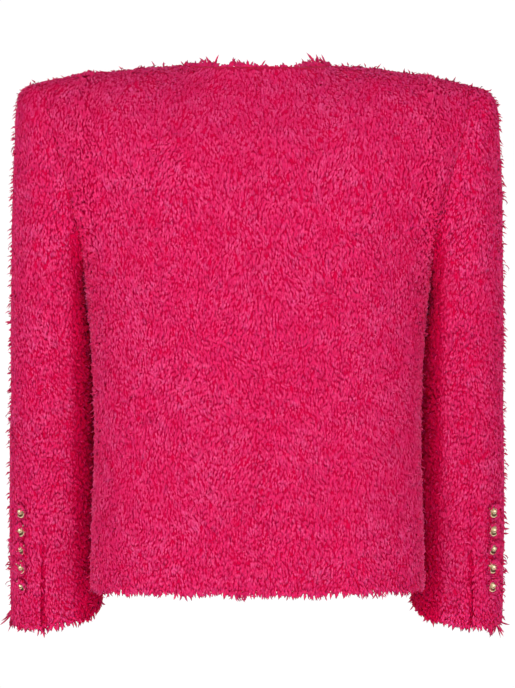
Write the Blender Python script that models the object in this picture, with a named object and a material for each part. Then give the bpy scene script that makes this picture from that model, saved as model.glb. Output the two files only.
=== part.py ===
"""Cropped bouclé tweed jacket, as it stands when it is worn.

Metres, +Z up, the front faces -Y and the wearer's left is +X.  The origin is the middle of
the neck opening at the height of the neck points, where the wearer's shoulders carry it.

Every cloth piece is a wall.  Its outside is a grid of points worked out from the tables
below, its inside is the same grid moved in by the wall's thickness, and its edges are closed.
Pieces that are sewn together share the direction of their cut edge and stay SEAM apart.
"""

import math
import random
from collections import namedtuple

import bmesh
import bpy
import numpy as np

# ---- driving dimensions -----------------------------------------------------------------

WALL = 0.0040  # cloth with its flattened pile
SEAM = 0.0003  # gap left between pieces that are sewn together

NECK_HALF_WIDTH = 0.080
SHOULDER_HALF_WIDTH = 0.229  # to the top of the armhole seam
SHOULDER_DROP = 0.0165
SHOULDER_ARCH = 1.25  # 1 is a straight seam, more keeps it level beside the neck
RIGHT_DROOP = 0.0045  # the wearer's right shoulder hangs this much lower
DROOP_FROM = 0.130  # half width where that starts
UNDERARM_HALF_WIDTH = 0.186
UNDERARM_DROP = 0.222
ARMHOLE_HALF_DEPTH = 0.056
ARMHOLE_BOW = 0.004  # how far the seam swings out above and in below its straight line
FRONT_ARMHOLE_SCOOP = 0.005
BACK_NECK_DEPTH = 0.050
BACK_NECK_DROP = 0.006
FRONT_NECK_DEPTH = 0.090
FRONT_NECK_DROP = 0.092
FRONT_EDGE = 0.0075  # half of the space between the two front edges

ARMHOLE_STEPS = 12  # rows of a body panel between the underarm and the shoulder
SIDE_STEPS = 11  # rows between the hem and the underarm
PANEL_COLUMNS = 12
NECK_COLUMNS = 6  # how many of them end in the neckline, the rest in the shoulder seam

VENT_LENGTH = 0.130
VENT_EASE = 0.030  # length over which the two edges part at the top of the vent
VENT_LIFT = 0.0022  # the buttoned edge stands over the under sleeve
VENT_SINK = 0.0006
VENT_BESIDE = 0.35  # how much of that the next column of points follows
UNDERLAP_THICKNESS = 0.0020
UNDERLAP_GAP = 3 * SEAM
UNDERLAP_REACH = 26.0  # degrees behind the buttoned edge
UNDERLAP_SEWN = 9.0  # degrees behind the under sleeve
UNDERLAP_ROWS = 6
UNDERLAP_COLUMNS = 5

BUTTON_DIAMETER = 0.015
BUTTON_HEIGHT = 0.0034
BUTTON_SIDES = 12
BUTTON_COUNT = 5
BUTTON_PITCH = 0.0205
BUTTON_ABOVE_CUFF = 0.043
BUTTON_ANGLE = 47.0  # round the cuff, from the outside towards the back, in degrees

STRIP_HEIGHT = 0.0016  # woven ground left under the frayed ends
STRIP_END = 0.0060  # a strip stops this far before the corner of its panel
STRIP_THICKNESS = 0.0022
STRAND_JITTER = 0.13  # of the space between two strands
LIFT_JITTER = 0.12
SEED = 7

# ---- tables -----------------------------------------------------------------------------

Level = namedtuple("Level", "name z half_width back_depth front_depth")
BODY_LEVELS = (
    Level("hem", -0.5615, 0.1785, 0.106, 0.107),
    Level("hip", -0.500, 0.1775, 0.104, 0.108),
    Level("waist", -0.400, 0.1750, 0.100, 0.109),
    Level("ribs", -0.310, 0.1775, 0.103, 0.120),
    Level("bust", -0.255, 0.1820, 0.107, 0.127),
    Level("underarm", -0.222, 0.1860, 0.109, 0.126),
)

# The last level before the shoulder rolls over: where its centre lies, and how much of the
# superellipse shows before the armhole cuts it off.
Chest = namedtuple("Chest", "centre_z depth square reach")
BACK_CHEST = Chest(-0.122, 0.106, 2.35, 0.93)
FRONT_CHEST = Chest(-0.165, 0.119, 2.25, 0.94)
BODY_SQUARE = 2.25

# How the cloth comes up to its top edge: 0 is a straight slope, 1 a full quarter circle, and
# the direction that it takes there at the centre, at the neck point and along the shoulder.
Rise = namedtuple("Rise", "roll centre corner shoulder")
BACK_RISE = Rise(0.70, (0.0, -0.50, 0.85), (-0.70, -0.70, 0.15), (0.0, -1.0, 0.0))
FRONT_RISE = Rise(0.45, (0.0, -0.30, 0.95), (-0.80, -0.60, 0.30), (0.0, -1.0, 0.0))
QUARTER_CIRCLE = 1.66  # length of the end tangents, in radii, that draws one

Ring = namedtuple("Ring", "name outer_x outer_z inner_x inner_z centre_y half_depth lean")
SLEEVE_RINGS = (
    Ring("armhole", 0.2290, -0.0165, 0.1860, -0.2220, 0.000, 0.0560, 0.0),
    Ring("crest", 0.2510, -0.0198, 0.1882, -0.2255, -0.001, 0.0575, 0.0),
    Ring("corner", 0.2612, -0.0355, 0.1880, -0.2320, -0.004, 0.0590, 0.0),
    Ring("cap", 0.2640, -0.0790, 0.1863, -0.2440, -0.010, 0.0610, 0.0),
    Ring("upper arm", 0.2665, -0.1350, 0.1838, -0.2620, -0.018, 0.0625, 2.0),
    Ring("biceps", 0.2688, -0.2050, 0.1808, -0.2850, -0.028, 0.0630, 5.0),
    Ring("above elbow", 0.2707, -0.2800, 0.1770, -0.3250, -0.039, 0.0620, 8.0),
    Ring("elbow", 0.2712, -0.3500, 0.1738, -0.3730, -0.048, 0.0590, 11.0),
    Ring("below elbow", 0.2726, -0.4150, 0.1718, -0.4250, -0.056, 0.0560, 14.0),
    Ring("forearm", 0.2736, -0.4800, 0.1710, -0.4800, -0.064, 0.0535, 17.0),
    Ring("wrist", 0.2737, -0.5400, 0.1708, -0.5340, -0.073, 0.0520, 19.0),
    Ring("cuff", 0.2734, -0.5970, 0.1710, -0.5830, -0.083, 0.0515, 21.0),
)
LAST_RING = len(SLEEVE_RINGS) - 1.0
SLEEVE_STATIONS = (  # places of the rows of points, counted in rings
    0.0, 0.6, 1.2, 1.8, 2.5, 3.2, 4.0, 4.6, 5.2, 5.8, 6.4, 7.0, 7.6, 8.2, 8.8, 9.4, 10.2, LAST_RING,
)
UNDERLAP_LAST = LAST_RING - 0.03  # the underlap stops just short of the cuff's edge
HEAD_RINGS = 2.0  # rings over which the armhole's shape turns into the sleeve's own
SLEEVE_SQUARE = 2.2
TOP_COLUMNS = 15
UNDER_COLUMNS = 9
FORE_SEAM_ANGLE = -120.0
HIND_SEAM_ANGLE = 105.0  # at the armhole
VENT_ANGLE = 75.0  # where the same seam has swung to at the cuff
SWING_START = 3.0  # ring where the hind seam starts to swing

# Soft folds.  A depth below zero is a trough.
FOLD_FADE_ROWS = 6.0  # one over the share of a panel in which they fade out below its top
FOLD_FADE_COLUMNS = 5.0
Fold = namedtuple("Fold", "panel side x z along across turn depth")
BODY_FOLDS = (
    Fold("back", 1, 0.150, -0.175, 0.070, 0.022, 62.0, -0.0030),
    Fold("back", 1, 0.118, -0.215, 0.080, 0.026, 48.0, 0.0022),
    Fold("back", 1, 0.096, -0.385, 0.095, 0.024, 84.0, -0.0030),
    Fold("back", 1, 0.050, -0.440, 0.110, 0.026, 92.0, 0.0026),
    Fold("back", 1, 0.128, -0.500, 0.070, 0.024, 80.0, 0.0024),
    Fold("back", 1, 0.085, -0.090, 0.060, 0.034, 10.0, 0.0020),
    Fold("back", -1, 0.158, -0.190, 0.080, 0.022, 66.0, -0.0034),
    Fold("back", -1, 0.120, -0.235, 0.075, 0.028, 52.0, 0.0020),
    Fold("back", -1, 0.070, -0.410, 0.105, 0.025, 96.0, -0.0030),
    Fold("back", -1, 0.112, -0.455, 0.095, 0.027, 86.0, 0.0028),
    Fold("back", -1, 0.036, -0.500, 0.080, 0.024, 90.0, 0.0020),
    Fold("back", -1, 0.092, -0.105, 0.065, 0.030, 170.0, 0.0018),
    Fold("front", 1, 0.092, -0.262, 0.062, 0.058, 90.0, 0.0085),
    Fold("front", 1, 0.150, -0.195, 0.065, 0.022, 58.0, -0.0034),
    Fold("front", 1, 0.110, -0.420, 0.100, 0.025, 86.0, -0.0032),
    Fold("front", 1, 0.062, -0.470, 0.085, 0.026, 94.0, 0.0026),
    Fold("front", -1, 0.092, -0.262, 0.062, 0.058, 90.0, 0.0085),
    Fold("front", -1, 0.145, -0.200, 0.070, 0.023, 64.0, -0.0030),
    Fold("front", -1, 0.086, -0.405, 0.110, 0.026, 98.0, -0.0030),
    Fold("front", -1, 0.128, -0.465, 0.075, 0.025, 84.0, 0.0028),
)

ArmFold = namedtuple("ArmFold", "side angle ring half_angle half_rings slant depth")
SLEEVE_FOLDS = (
    ArmFold(1, 150.0, 3.6, 42.0, 0.42, 0.010, -0.0034),
    ArmFold(1, 128.0, 4.7, 40.0, 0.50, 0.008, 0.0026),
    ArmFold(1, 138.0, 6.6, 34.0, 0.40, -0.006, -0.0036),
    ArmFold(1, 146.0, 7.5, 32.0, 0.38, 0.005, -0.0034),
    ArmFold(1, 222.0, 6.9, 36.0, 0.36, 0.004, 0.0022),
    ArmFold(1, 60.0, 7.3, 45.0, 0.60, -0.004, 0.0024),
    ArmFold(1, 230.0, 8.3, 50.0, 0.40, 0.006, -0.0032),
    ArmFold(-1, 146.0, 3.9, 46.0, 0.40, 0.012, -0.0036),
    ArmFold(-1, 120.0, 5.1, 38.0, 0.52, 0.006, 0.0024),
    ArmFold(-1, 140.0, 6.4, 32.0, 0.42, -0.005, -0.0034),
    ArmFold(-1, 148.0, 7.3, 30.0, 0.38, 0.006, -0.0036),
    ArmFold(-1, 226.0, 6.8, 34.0, 0.34, 0.004, 0.0024),
    ArmFold(-1, 64.0, 7.0, 42.0, 0.58, -0.006, 0.0022),
    ArmFold(-1, 226.0, 8.1, 46.0, 0.42, 0.004, -0.0034),
)

# Frayed edges: strands along the edge of one panel or cuff, their length from the cut edge,
# how far they stray to the sides, how far they stand off the cloth and their width.
Fray = namedtuple("Fray", "strands shortest longest stray lift width")
HEM_FRAY = Fray(20, 0.0060, 0.0125, 0.20, 0.10, 0.0030)
NECK_FRAY = Fray(9, 0.0060, 0.0130, 0.25, 0.15, 0.0030)
FRONT_FRAY = Fray(22, 0.0045, 0.0070, 0.25, 0.90, 0.0028)
CUFF_FRAY = Fray(22, 0.0060, 0.0120, 0.25, 0.12, 0.0030)

Finish = namedtuple("Finish", "name colour roughness metallic")
TWEED = Finish("pink_tweed", (0.68, 0.018, 0.105), 0.95, 0.0)
YARN = Finish("frayed_yarn", (0.64, 0.014, 0.085), 0.95, 0.0)
GOLD = Finish("antique_gold", (0.62, 0.47, 0.22), 0.38, 1.0)


# ---- small geometry helpers -------------------------------------------------------------


def spline(values, at):
    """Value of a smooth curve through values at 0, 1, 2 ..., where at is a place or an array."""
    values = np.asarray(values, float)
    slopes = np.gradient(values)
    at = np.clip(np.asarray(at, float), 0.0, len(values) - 1.0)
    left = np.minimum(at.astype(int), len(values) - 2)
    return hermite(values[left], values[left + 1], slopes[left], slopes[left + 1], at - left)


def hermite(start, end, leave, arrive, t):
    """Curve from start to end with the tangents leave and arrive, at t from 0 to 1."""
    return (
        start * (1 + 2 * t) * (1 - t) ** 2
        + leave * t * (1 - t) ** 2
        + end * t * t * (3 - 2 * t)
        + arrive * t * t * (t - 1)
    )


def mix(a, b, share):
    return a + (b - a) * share


def smooth(x):
    x = np.clip(x, 0.0, 1.0)
    return x * x * (3 - 2 * x)


def unit(vectors):
    return vectors / np.linalg.norm(vectors, axis=-1, keepdims=True)


def even(points, count):
    """count + 1 points at even distances along a dense polyline."""
    steps = np.linalg.norm(np.diff(points, axis=0), axis=1)
    run = np.concatenate([[0.0], np.cumsum(steps)])
    at = np.linspace(0.0, run[-1], count + 1)
    return np.stack([np.interp(at, run, points[:, k]) for k in range(3)], axis=1)


def rounded(value, square):
    """A cosine or sine bent towards a squarer section."""
    return np.sign(value) * np.abs(value) ** (2.0 / square)


def grid_normals(grid):
    along_rows = np.gradient(grid, axis=1)
    up_rows = np.gradient(grid, axis=0)
    return unit(np.cross(along_rows, up_rows))


# ---- body panels ------------------------------------------------------------------------


def armhole(angle, face):
    """Point of the left armhole seam.  0 is the shoulder point and 180 the underarm."""
    turn = math.radians(angle)
    up, out = math.cos(turn), math.sin(turn)
    high = (SHOULDER_HALF_WIDTH, -SHOULDER_DROP)
    low = (UNDERARM_HALF_WIDTH, -UNDERARM_DROP)
    x = mix(low[0], high[0], (1 + up) / 2) + ARMHOLE_BOW * math.sin(2 * turn)
    if face < 0:
        x -= FRONT_ARMHOLE_SCOOP * out * out
    z = mix(low[1], high[1], (1 + up) / 2)
    return np.array([x, face * ARMHOLE_HALF_DEPTH * out, z])


def body_row(start_x, depth, centre_z, edge, square, reach):
    """One level of a panel from its centre edge to the point edge, facing +Y."""
    turn = np.linspace(0.0, math.pi / 2, 160)
    t = np.sin(turn)
    t = t[t * edge[0] >= start_x]
    t = np.concatenate([[start_x / edge[0]], t])
    full = (1 - (reach * t) ** square) ** (1 / square)
    last = (1 - reach**square) ** (1 / square)
    y = edge[1] + (depth - edge[1]) * (full - last) / (1 - last)
    z = mix(centre_z, edge[2], t**3)
    return even(np.stack([t * edge[0], y, z], axis=1), PANEL_COLUMNS)


def top_row(face, start_x):
    """Neckline from the centre edge to the neck point, then the shoulder seam, facing +Y."""
    depth = BACK_NECK_DEPTH if face > 0 else FRONT_NECK_DEPTH
    drop = BACK_NECK_DROP if face > 0 else FRONT_NECK_DROP
    first = math.asin((start_x / NECK_HALF_WIDTH) ** 1.1)
    turn = np.linspace(first, math.pi / 2, 80)
    x = NECK_HALF_WIDTH * np.sin(turn) ** (1 / 1.1)
    y = depth * np.cos(turn) ** 0.95
    z = -drop * np.cos(turn) ** 0.95
    neck = even(np.stack([x, y, z], axis=1), NECK_COLUMNS)
    along = np.linspace(0.0, 1.0, PANEL_COLUMNS - NECK_COLUMNS + 1)[1:]
    x = mix(NECK_HALF_WIDTH, SHOULDER_HALF_WIDTH, along)
    seam = np.stack([x, 0 * along, -SHOULDER_DROP * along**SHOULDER_ARCH], axis=1)
    return np.concatenate([neck, seam])


def panel_grid(face):
    """Outside of the left back (face 1) or left front (face -1), rows from hem to shoulder."""
    start_x = SEAM / 2 if face > 0 else FRONT_EDGE
    chest = BACK_CHEST if face > 0 else FRONT_CHEST
    depths = [lev.back_depth if face > 0 else lev.front_depth for lev in BODY_LEVELS]
    heights = [lev.z for lev in BODY_LEVELS]
    rows = []
    for z in np.linspace(heights[0], heights[-1], SIDE_STEPS + 1):
        at = np.interp(z, heights, range(len(heights)))
        width = float(spline([lev.half_width for lev in BODY_LEVELS], at))
        depth = float(spline(depths, at))
        rows.append(body_row(start_x, depth, z, np.array([width, 0.0, z]), BODY_SQUARE, 1.0))

    half = ARMHOLE_STEPS // 2
    angle_step = 180.0 / ARMHOLE_STEPS
    for k in range(1, half + 1):
        share = k / half
        edge = armhole(180.0 - angle_step * k, face)
        edge[1] = abs(edge[1])
        depth = mix(depths[-1], chest.depth, smooth(share))
        square = mix(BODY_SQUARE, chest.square, share)
        reach = mix(1.0, chest.reach, smooth(share * 1.5))
        centre_z = mix(heights[-1], chest.centre_z, share)
        rows.append(body_row(start_x, depth, centre_z, edge, square, reach))

    low, high = rows[-1], top_row(face, start_x)
    rise = BACK_RISE if face > 0 else FRONT_RISE
    place = np.arange(PANEL_COLUMNS + 1) / NECK_COLUMNS
    neck_share = np.minimum(place, 1.0)[:, None] ** 1.5
    seam_share = smooth((place - 1.0) * 3)[:, None]
    arrive = mix(np.array(rise.centre), np.array(rise.corner), neck_share)
    arrive = unit(mix(arrive, np.array(rise.shoulder), seam_share))
    roll = mix(rise.roll, 1.0, neck_share)
    height = (high - low)[:, 2:] * np.array([0.0, 0.0, QUARTER_CIRCLE])
    depth = np.abs(high - low)[:, 1:2] * QUARTER_CIRCLE
    leave = mix(high - low, height, roll)
    arrive = mix(high - low, arrive * depth, roll)
    across = (np.arange(PANEL_COLUMNS + 1) / PANEL_COLUMNS) ** 3
    for k in range(1, half + 1):
        row = hermite(low, high, leave, arrive, k / half)
        edge = armhole(90.0 - angle_step * k, face)
        edge[1] = abs(edge[1])
        row += across[:, None] * (edge - row[-1])
        rows.append(row)
    grid = np.array(rows)
    grid[:, :, 1] *= face
    return grid


def fold_panel(grid, face, side):
    """Move the grid along its normals by the soft folds, which fade out at every seam."""
    out = -face * grid_normals(grid)
    count_rows, count_columns = grid.shape[:2]
    column = np.arange(count_columns) / (count_columns - 1)
    row = np.arange(count_rows) / (count_rows - 1)
    from_sides = smooth(column * FOLD_FADE_COLUMNS) * smooth((1 - column) * FOLD_FADE_COLUMNS)
    fade = np.outer(smooth((1 - row) * FOLD_FADE_ROWS), from_sides)
    shift = np.zeros(grid.shape[:2])
    name = "back" if face > 0 else "front"
    for fold in BODY_FOLDS:
        if fold.panel != name or fold.side != side:
            continue
        turn = math.radians(fold.turn)
        dx, dz = grid[:, :, 0] - fold.x, grid[:, :, 2] - fold.z
        run = (dx * math.cos(turn) + dz * math.sin(turn)) / fold.along
        off = (dz * math.cos(turn) - dx * math.sin(turn)) / fold.across
        shift += fold.depth * np.exp(-run * run - off * off)
    return grid + out * (shift * fade)[:, :, None]


def droop(points, side):
    """Let the top of the right shoulder hang a little lower than the left."""
    if side > 0:
        return points
    outward = smooth((points[..., 0] - DROOP_FROM) / (SHOULDER_HALF_WIDTH - DROOP_FROM))
    upward = smooth((points[..., 2] + UNDERARM_DROP) / UNDERARM_DROP)
    lowered = points.copy()
    lowered[..., 2] -= RIGHT_DROOP * outward * upward
    return lowered


# ---- sleeves ----------------------------------------------------------------------------


def column(name):
    return [getattr(ring, name) for ring in SLEEVE_RINGS]


def hind_seam(place):
    """Angle of the seam at the back of the sleeve, which swings outwards to the vent."""
    share = (place - SWING_START) / (LAST_RING - SWING_START)
    return mix(HIND_SEAM_ANGLE, VENT_ANGLE, smooth(share))


def sleeve_angles(place):
    top = np.linspace(FORE_SEAM_ANGLE, hind_seam(place), TOP_COLUMNS + 1)
    under = np.linspace(hind_seam(place), FORE_SEAM_ANGLE + 360.0, UNDER_COLUMNS + 1)
    return np.concatenate([top, under[1:-1]])


def sleeve_point(place, angle):
    """Outside of the left sleeve.  Angle 0 is the outer side, 90 the back, 180 the inner."""
    turn = math.radians(angle)
    outer = np.array([spline(column("outer_x"), place), 0.0, spline(column("outer_z"), place)])
    inner = np.array([spline(column("inner_x"), place), 0.0, spline(column("inner_z"), place)])
    lean = math.radians(float(spline(column("lean"), place)))
    depth = float(spline(column("half_depth"), place))
    square = mix(2.0, SLEEVE_SQUARE, smooth(place / HEAD_RINGS))
    centre = (outer + inner) / 2 + np.array([0.0, float(spline(column("centre_y"), place)), 0.0])
    deep = depth * np.array([0.0, math.cos(lean), -math.sin(lean)])
    point = (
        centre
        + (outer - inner) / 2 * rounded(math.cos(turn), square)
        + deep * rounded(math.sin(turn), square)
    )
    wrapped = (angle + 180.0) % 360.0 - 180.0
    seam = armhole(abs(wrapped), 1 if wrapped >= 0 else -1)
    start = centre + (outer - inner) / 2 * math.cos(turn)
    start[1] += depth * math.sin(turn)
    return point + (seam - start) * max(0.0, 1.0 - place / HEAD_RINGS) ** 2


def sleeve_fold(side, place, angle):
    total = 0.0
    for fold in SLEEVE_FOLDS:
        if fold.side != side:
            continue
        off_angle = (angle - fold.angle + 180.0) % 360.0 - 180.0
        run = off_angle / fold.half_angle
        off = (place - fold.ring - fold.slant * off_angle) / fold.half_rings
        total += fold.depth * math.exp(-run * run - off * off)
    return total * float(smooth(place / 1.5) * smooth((LAST_RING - place) / 1.2))


def sleeve_grid(side):
    """Outside points of the whole left sleeve, as rings from the armhole to the cuff."""
    rings, angles = [], []
    for place in SLEEVE_STATIONS:
        ring_angles = sleeve_angles(place)
        rings.append([sleeve_point(place, angle) for angle in ring_angles])
        angles.append(ring_angles)
    grid = np.array(rings)
    grid[0, :, 0] += SEAM
    shift = [
        [sleeve_fold(side, place, angle) for angle in ring_angles]
        for place, ring_angles in zip(SLEEVE_STATIONS, angles)
    ]
    return grid + ring_normals(grid) * np.array(shift)[:, :, None]


def ring_normals(grid):
    """Outward directions of a tube whose rows are closed rings."""
    wrapped = np.concatenate([grid[:, -1:], grid, grid[:, :1]], axis=1)
    return -grid_normals(wrapped)[:, 1:-1]


# ---- walls ------------------------------------------------------------------------------


def material(finish):
    made = bpy.data.materials.get(finish.name) or bpy.data.materials.new(finish.name)
    made.use_nodes = True
    shader = made.node_tree.nodes["Principled BSDF"]
    shader.inputs["Base Color"].default_value = (*finish.colour, 1.0)
    shader.inputs["Roughness"].default_value = finish.roughness
    shader.inputs["Metallic"].default_value = finish.metallic
    return made


def add_solid(name, points, faces, finish, side=1):
    """One closed body; side -1 mirrors it to the wearer's right."""
    mesh = bpy.data.meshes.new(name)
    body = bmesh.new()
    corners = [body.verts.new((side * p[0], p[1], p[2])) for p in points]
    for face in faces:
        body.faces.new([corners[i] for i in face])
    bmesh.ops.recalc_face_normals(body, faces=body.faces)
    body.to_mesh(mesh)
    body.free()
    mesh.shade_smooth()
    mesh.set_sharp_from_angle(angle=math.radians(50))
    mesh.materials.append(material(finish))
    thing = bpy.data.objects.new(name, mesh)
    bpy.context.scene.collection.objects.link(thing)
    return thing


def wall_faces(points, rows, columns):
    """Faces of a wall whose outside and inside are grids of rows x columns points.

    Each twisted face of the cut edge is split along its hollow diagonal, so that nothing
    stands out of the edge towards the piece sewn on there.
    """
    outside = np.arange(rows * columns).reshape(rows, columns)
    inside = outside + rows * columns
    faces = []
    for r in range(rows - 1):
        for c in range(columns - 1):
            for layer in (outside, inside):
                faces.append((layer[r, c], layer[r, c + 1], layer[r + 1, c + 1], layer[r + 1, c]))
    rim = (
        [(r, 0) for r in range(rows)]
        + [(rows - 1, c) for c in range(1, columns)]
        + [(r, columns - 1) for r in range(rows - 2, -1, -1)]
        + [(0, c) for c in range(columns - 2, 0, -1)]
    )
    for here, there in zip(rim, rim[1:] + rim[:1]):
        a, b, c, d = outside[here], outside[there], inside[there], inside[here]
        within = tuple(np.clip(here, 1, (rows - 2, columns - 2)))
        across = np.cross(points[c] - points[a], points[d] - points[b])
        inward = across * np.dot(across, points[outside[within]] - points[a])
        if np.dot(points[a] + points[c] - points[b] - points[d], inward) > 0:
            faces += [(a, b, c), (a, c, d)]
        else:
            faces += [(a, b, d), (b, c, d)]
    return faces


def add_wall(name, outside, inside, finish, side):
    rows, columns = outside.shape[:2]
    points = np.concatenate([outside.reshape(-1, 3), inside.reshape(-1, 3)])
    return add_solid(name, points, wall_faces(points, rows, columns), finish, side)


def inset_edge(outside, inside, edge, inward):
    """Draw one edge of a wall back by half a seam, both skins by the same step."""
    run = outside[inward] - outside[edge]
    through = unit(inside[edge] - outside[edge])
    run = unit(run - np.sum(run * through, axis=-1, keepdims=True) * through)
    outside[edge] += run * SEAM / 2
    inside[edge] += run * SEAM / 2


# ---- frayed edges -----------------------------------------------------------------------


def add_fringe(name, wall, edge, inward, fray, side, dice):
    """A narrow strip along a cut edge of a wall, and tapering strands that grow out of it."""
    outer_edge, inner_edge = wall[0][edge], wall[1][edge]
    middle = (outer_edge + inner_edge) / 2
    steps = np.linalg.norm(np.diff(middle, axis=0), axis=1)
    run = np.concatenate([[0.0], np.cumsum(steps)])
    pitch = (run[-1] - 2 * STRIP_END) / fray.strands
    marks = [0.0]
    for k in range(fray.strands):
        jitter = dice.uniform(-STRAND_JITTER, STRAND_JITTER)
        centre = STRIP_END + pitch * (k + 0.5 + jitter)
        marks += [centre - fray.width / 2, centre + fray.width / 2]
    marks.append(run[-1])
    marks[0], marks[-1] = STRIP_END, run[-1] - STRIP_END

    def track(values):
        return np.stack([np.interp(marks, run, values[:, k]) for k in range(3)], axis=1)

    path, through = track(middle), unit(track(inner_edge - outer_edge))
    along = unit(np.gradient(path, axis=0))
    out = unit(np.cross(along, through))
    if np.sum(out * track(outer_edge - wall[0][inward])) < 0:
        out = -out
    half = through * STRIP_THICKNESS / 2
    near = path + out * SEAM
    far = near + out * STRIP_HEIGHT
    points = list(np.concatenate([near - half, near + half, far + half, far - half]))
    count = len(marks)
    index = np.arange(4 * count).reshape(4, count)
    faces = [tuple(index[:, 0]), tuple(index[::-1, -1])]
    for k in range(count - 1):
        for low, high in ((0, 1), (1, 2), (2, 3), (3, 0)):
            quad = (index[low, k], index[high, k], index[high, k + 1], index[low, k + 1])
            if low != 2 or k % 2 == 0:
                faces.append(quad)
                continue
            aside = dice.uniform(-fray.stray, fray.stray)
            if k == 1 or k == count - 3:
                aside = abs(aside) if k == 1 else -abs(aside)
            lift = fray.lift + dice.uniform(-LIFT_JITTER, LIFT_JITTER)
            length = dice.uniform(fray.shortest, fray.longest) - STRIP_HEIGHT - SEAM
            lean = unit(out[k] + along[k] * aside - through[k] * lift)
            points.append((far[k] + far[k + 1]) / 2 + length * lean)
            tip = len(points) - 1
            faces += [(a, b, tip) for a, b in zip(quad, quad[1:] + quad[:1])]
    return add_solid(name, points, faces, YARN, side)


# ---- buttons ----------------------------------------------------------------------------


def add_button(name, centre, facing, finish, side):
    """A domed metal button with a raised rim, turned round the direction it faces."""
    radius, height = BUTTON_DIAMETER / 2, BUTTON_HEIGHT
    profile = (
        (0.84 * radius, 0.00 * height),
        (1.00 * radius, 0.30 * height),
        (0.96 * radius, 0.66 * height),
        (0.78 * radius, 0.70 * height),
        (0.68 * radius, 0.58 * height),
        (0.36 * radius, 0.90 * height),
    )
    sideways = unit(np.cross(facing, np.array([0.0, 0.0, 1.0])))
    upright = np.cross(sideways, facing)
    points = [centre, centre + facing * height]
    for across, up in profile:
        for k in range(BUTTON_SIDES):
            turn = 2 * math.pi * k / BUTTON_SIDES
            round_it = sideways * math.cos(turn) + upright * math.sin(turn)
            points.append(centre + round_it * across + facing * up)
    faces = []
    last = 2 + (len(profile) - 1) * BUTTON_SIDES
    for k in range(BUTTON_SIDES):
        n = (k + 1) % BUTTON_SIDES
        faces.append((0, 2 + n, 2 + k))
        faces.append((1, last + k, last + n))
        for ring in range(len(profile) - 1):
            low = 2 + ring * BUTTON_SIDES
            high = low + BUTTON_SIDES
            faces.append((low + k, low + n, high + n, high + k))
    return add_solid(name, points, faces, finish, side)


# ---- the two halves of the jacket -------------------------------------------------------


def shared_direction(own, other):
    """Direction of a cut edge that two panels share where they run on into each other."""
    meeting = np.sum(own * other, axis=-1, keepdims=True)
    return unit(own + other * smooth((meeting + 0.3) / 0.3))


def make_half(side, dice):
    """All pieces of one half but the fringes of the back, whose two skins it returns."""
    word = "left" if side > 0 else "right"
    back = droop(fold_panel(panel_grid(1), 1, side), side)
    front = droop(fold_panel(panel_grid(-1), -1, side), side)
    sleeve = droop(sleeve_grid(side), side)
    sleeve_out = ring_normals(sleeve)
    back_out, front_out = -grid_normals(back), grid_normals(front)

    # Edges that are sewn together get one direction.
    side_rows = slice(0, SIDE_STEPS + 1)
    both = unit(back_out[side_rows, -1] + front_out[side_rows, -1])
    back_out[side_rows, -1] = both
    front_out[side_rows, -1] = both
    seam_columns = slice(NECK_COLUMNS, PANEL_COLUMNS + 1)
    both = unit(back_out[-1, seam_columns] + front_out[-1, seam_columns])
    back_out[-1, seam_columns] = both
    front_out[-1, seam_columns] = both
    back_out[:, 0, 0] = 0.0
    back_out = unit(back_out)

    # The armhole: the sleeve's first ring runs from the fore seam over the top to the back.
    step = 360.0 / (TOP_COLUMNS + UNDER_COLUMNS)
    sleeve_own = sleeve_out[0].copy()
    for face, out in ((1, back_out), (-1, front_out)):
        for k in range(ARMHOLE_STEPS + 1):
            row = SIDE_STEPS + k
            angle = face * (180.0 - step * k)
            j = round((angle - FORE_SEAM_ANGLE) / step) % (TOP_COLUMNS + UNDER_COLUMNS)
            own = out[row, -1].copy()
            out[row, -1] = shared_direction(own, sleeve_own[j])
            sleeve_out[0, j] = shared_direction(sleeve_own[j], own)

    back_in, front_in = back - back_out * WALL, front - front_out * WALL
    sleeve_in = sleeve - sleeve_out * WALL

    rows = slice(0, SIDE_STEPS + 1)
    for outside, inside in ((back, back_in), (front, front_in)):
        inset_edge(outside, inside, (rows, -1), (rows, -2))
        inset_edge(outside, inside, (-1, seam_columns), (-2, seam_columns))
    add_wall("back_" + word, back, back_in, TWEED, side)
    add_wall("front_" + word, front, front_in, TWEED, side)
    make_sleeve(word, side, sleeve, sleeve_in, sleeve_out)
    make_buttons(word, side)
    make_fringes(word, side, (front, front_in), (sleeve, sleeve_in), dice)
    return back, back_in


def make_sleeve(word, side, sleeve, sleeve_in, sleeve_out):
    """Cut the sleeve into its top and under parts, and lap one over the other at the vent."""
    top = list(range(TOP_COLUMNS + 1))
    under = list(range(TOP_COLUMNS, TOP_COLUMNS + UNDER_COLUMNS)) + [0]
    vent_top = SLEEVE_RINGS[-1].outer_z + VENT_LENGTH
    heights = spline(column("outer_z"), np.array(SLEEVE_STATIONS))
    open_share = smooth((vent_top - heights) / VENT_EASE)
    for name, columns, hind, move in (
        ("sleeve_top_", top, -1, VENT_LIFT),
        ("sleeve_under_", under, 0, -VENT_SINK),
    ):
        outside, inside = sleeve[:, columns].copy(), sleeve_in[:, columns].copy()
        beside = -2 if hind == -1 else 1
        for place, share in ((hind, 1.0), (beside, VENT_BESIDE)):
            lift = sleeve_out[:, columns[place]] * (open_share * move * share)[:, None]
            outside[:, place] += lift
            inside[:, place] += lift
        inset_edge(outside, inside, (slice(None), 0), (slice(None), 1))
        inset_edge(outside, inside, (slice(None), -1), (slice(None), -2))
        add_wall(name + word, outside, inside, TWEED, side)
    make_underlap(word, side)


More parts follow.
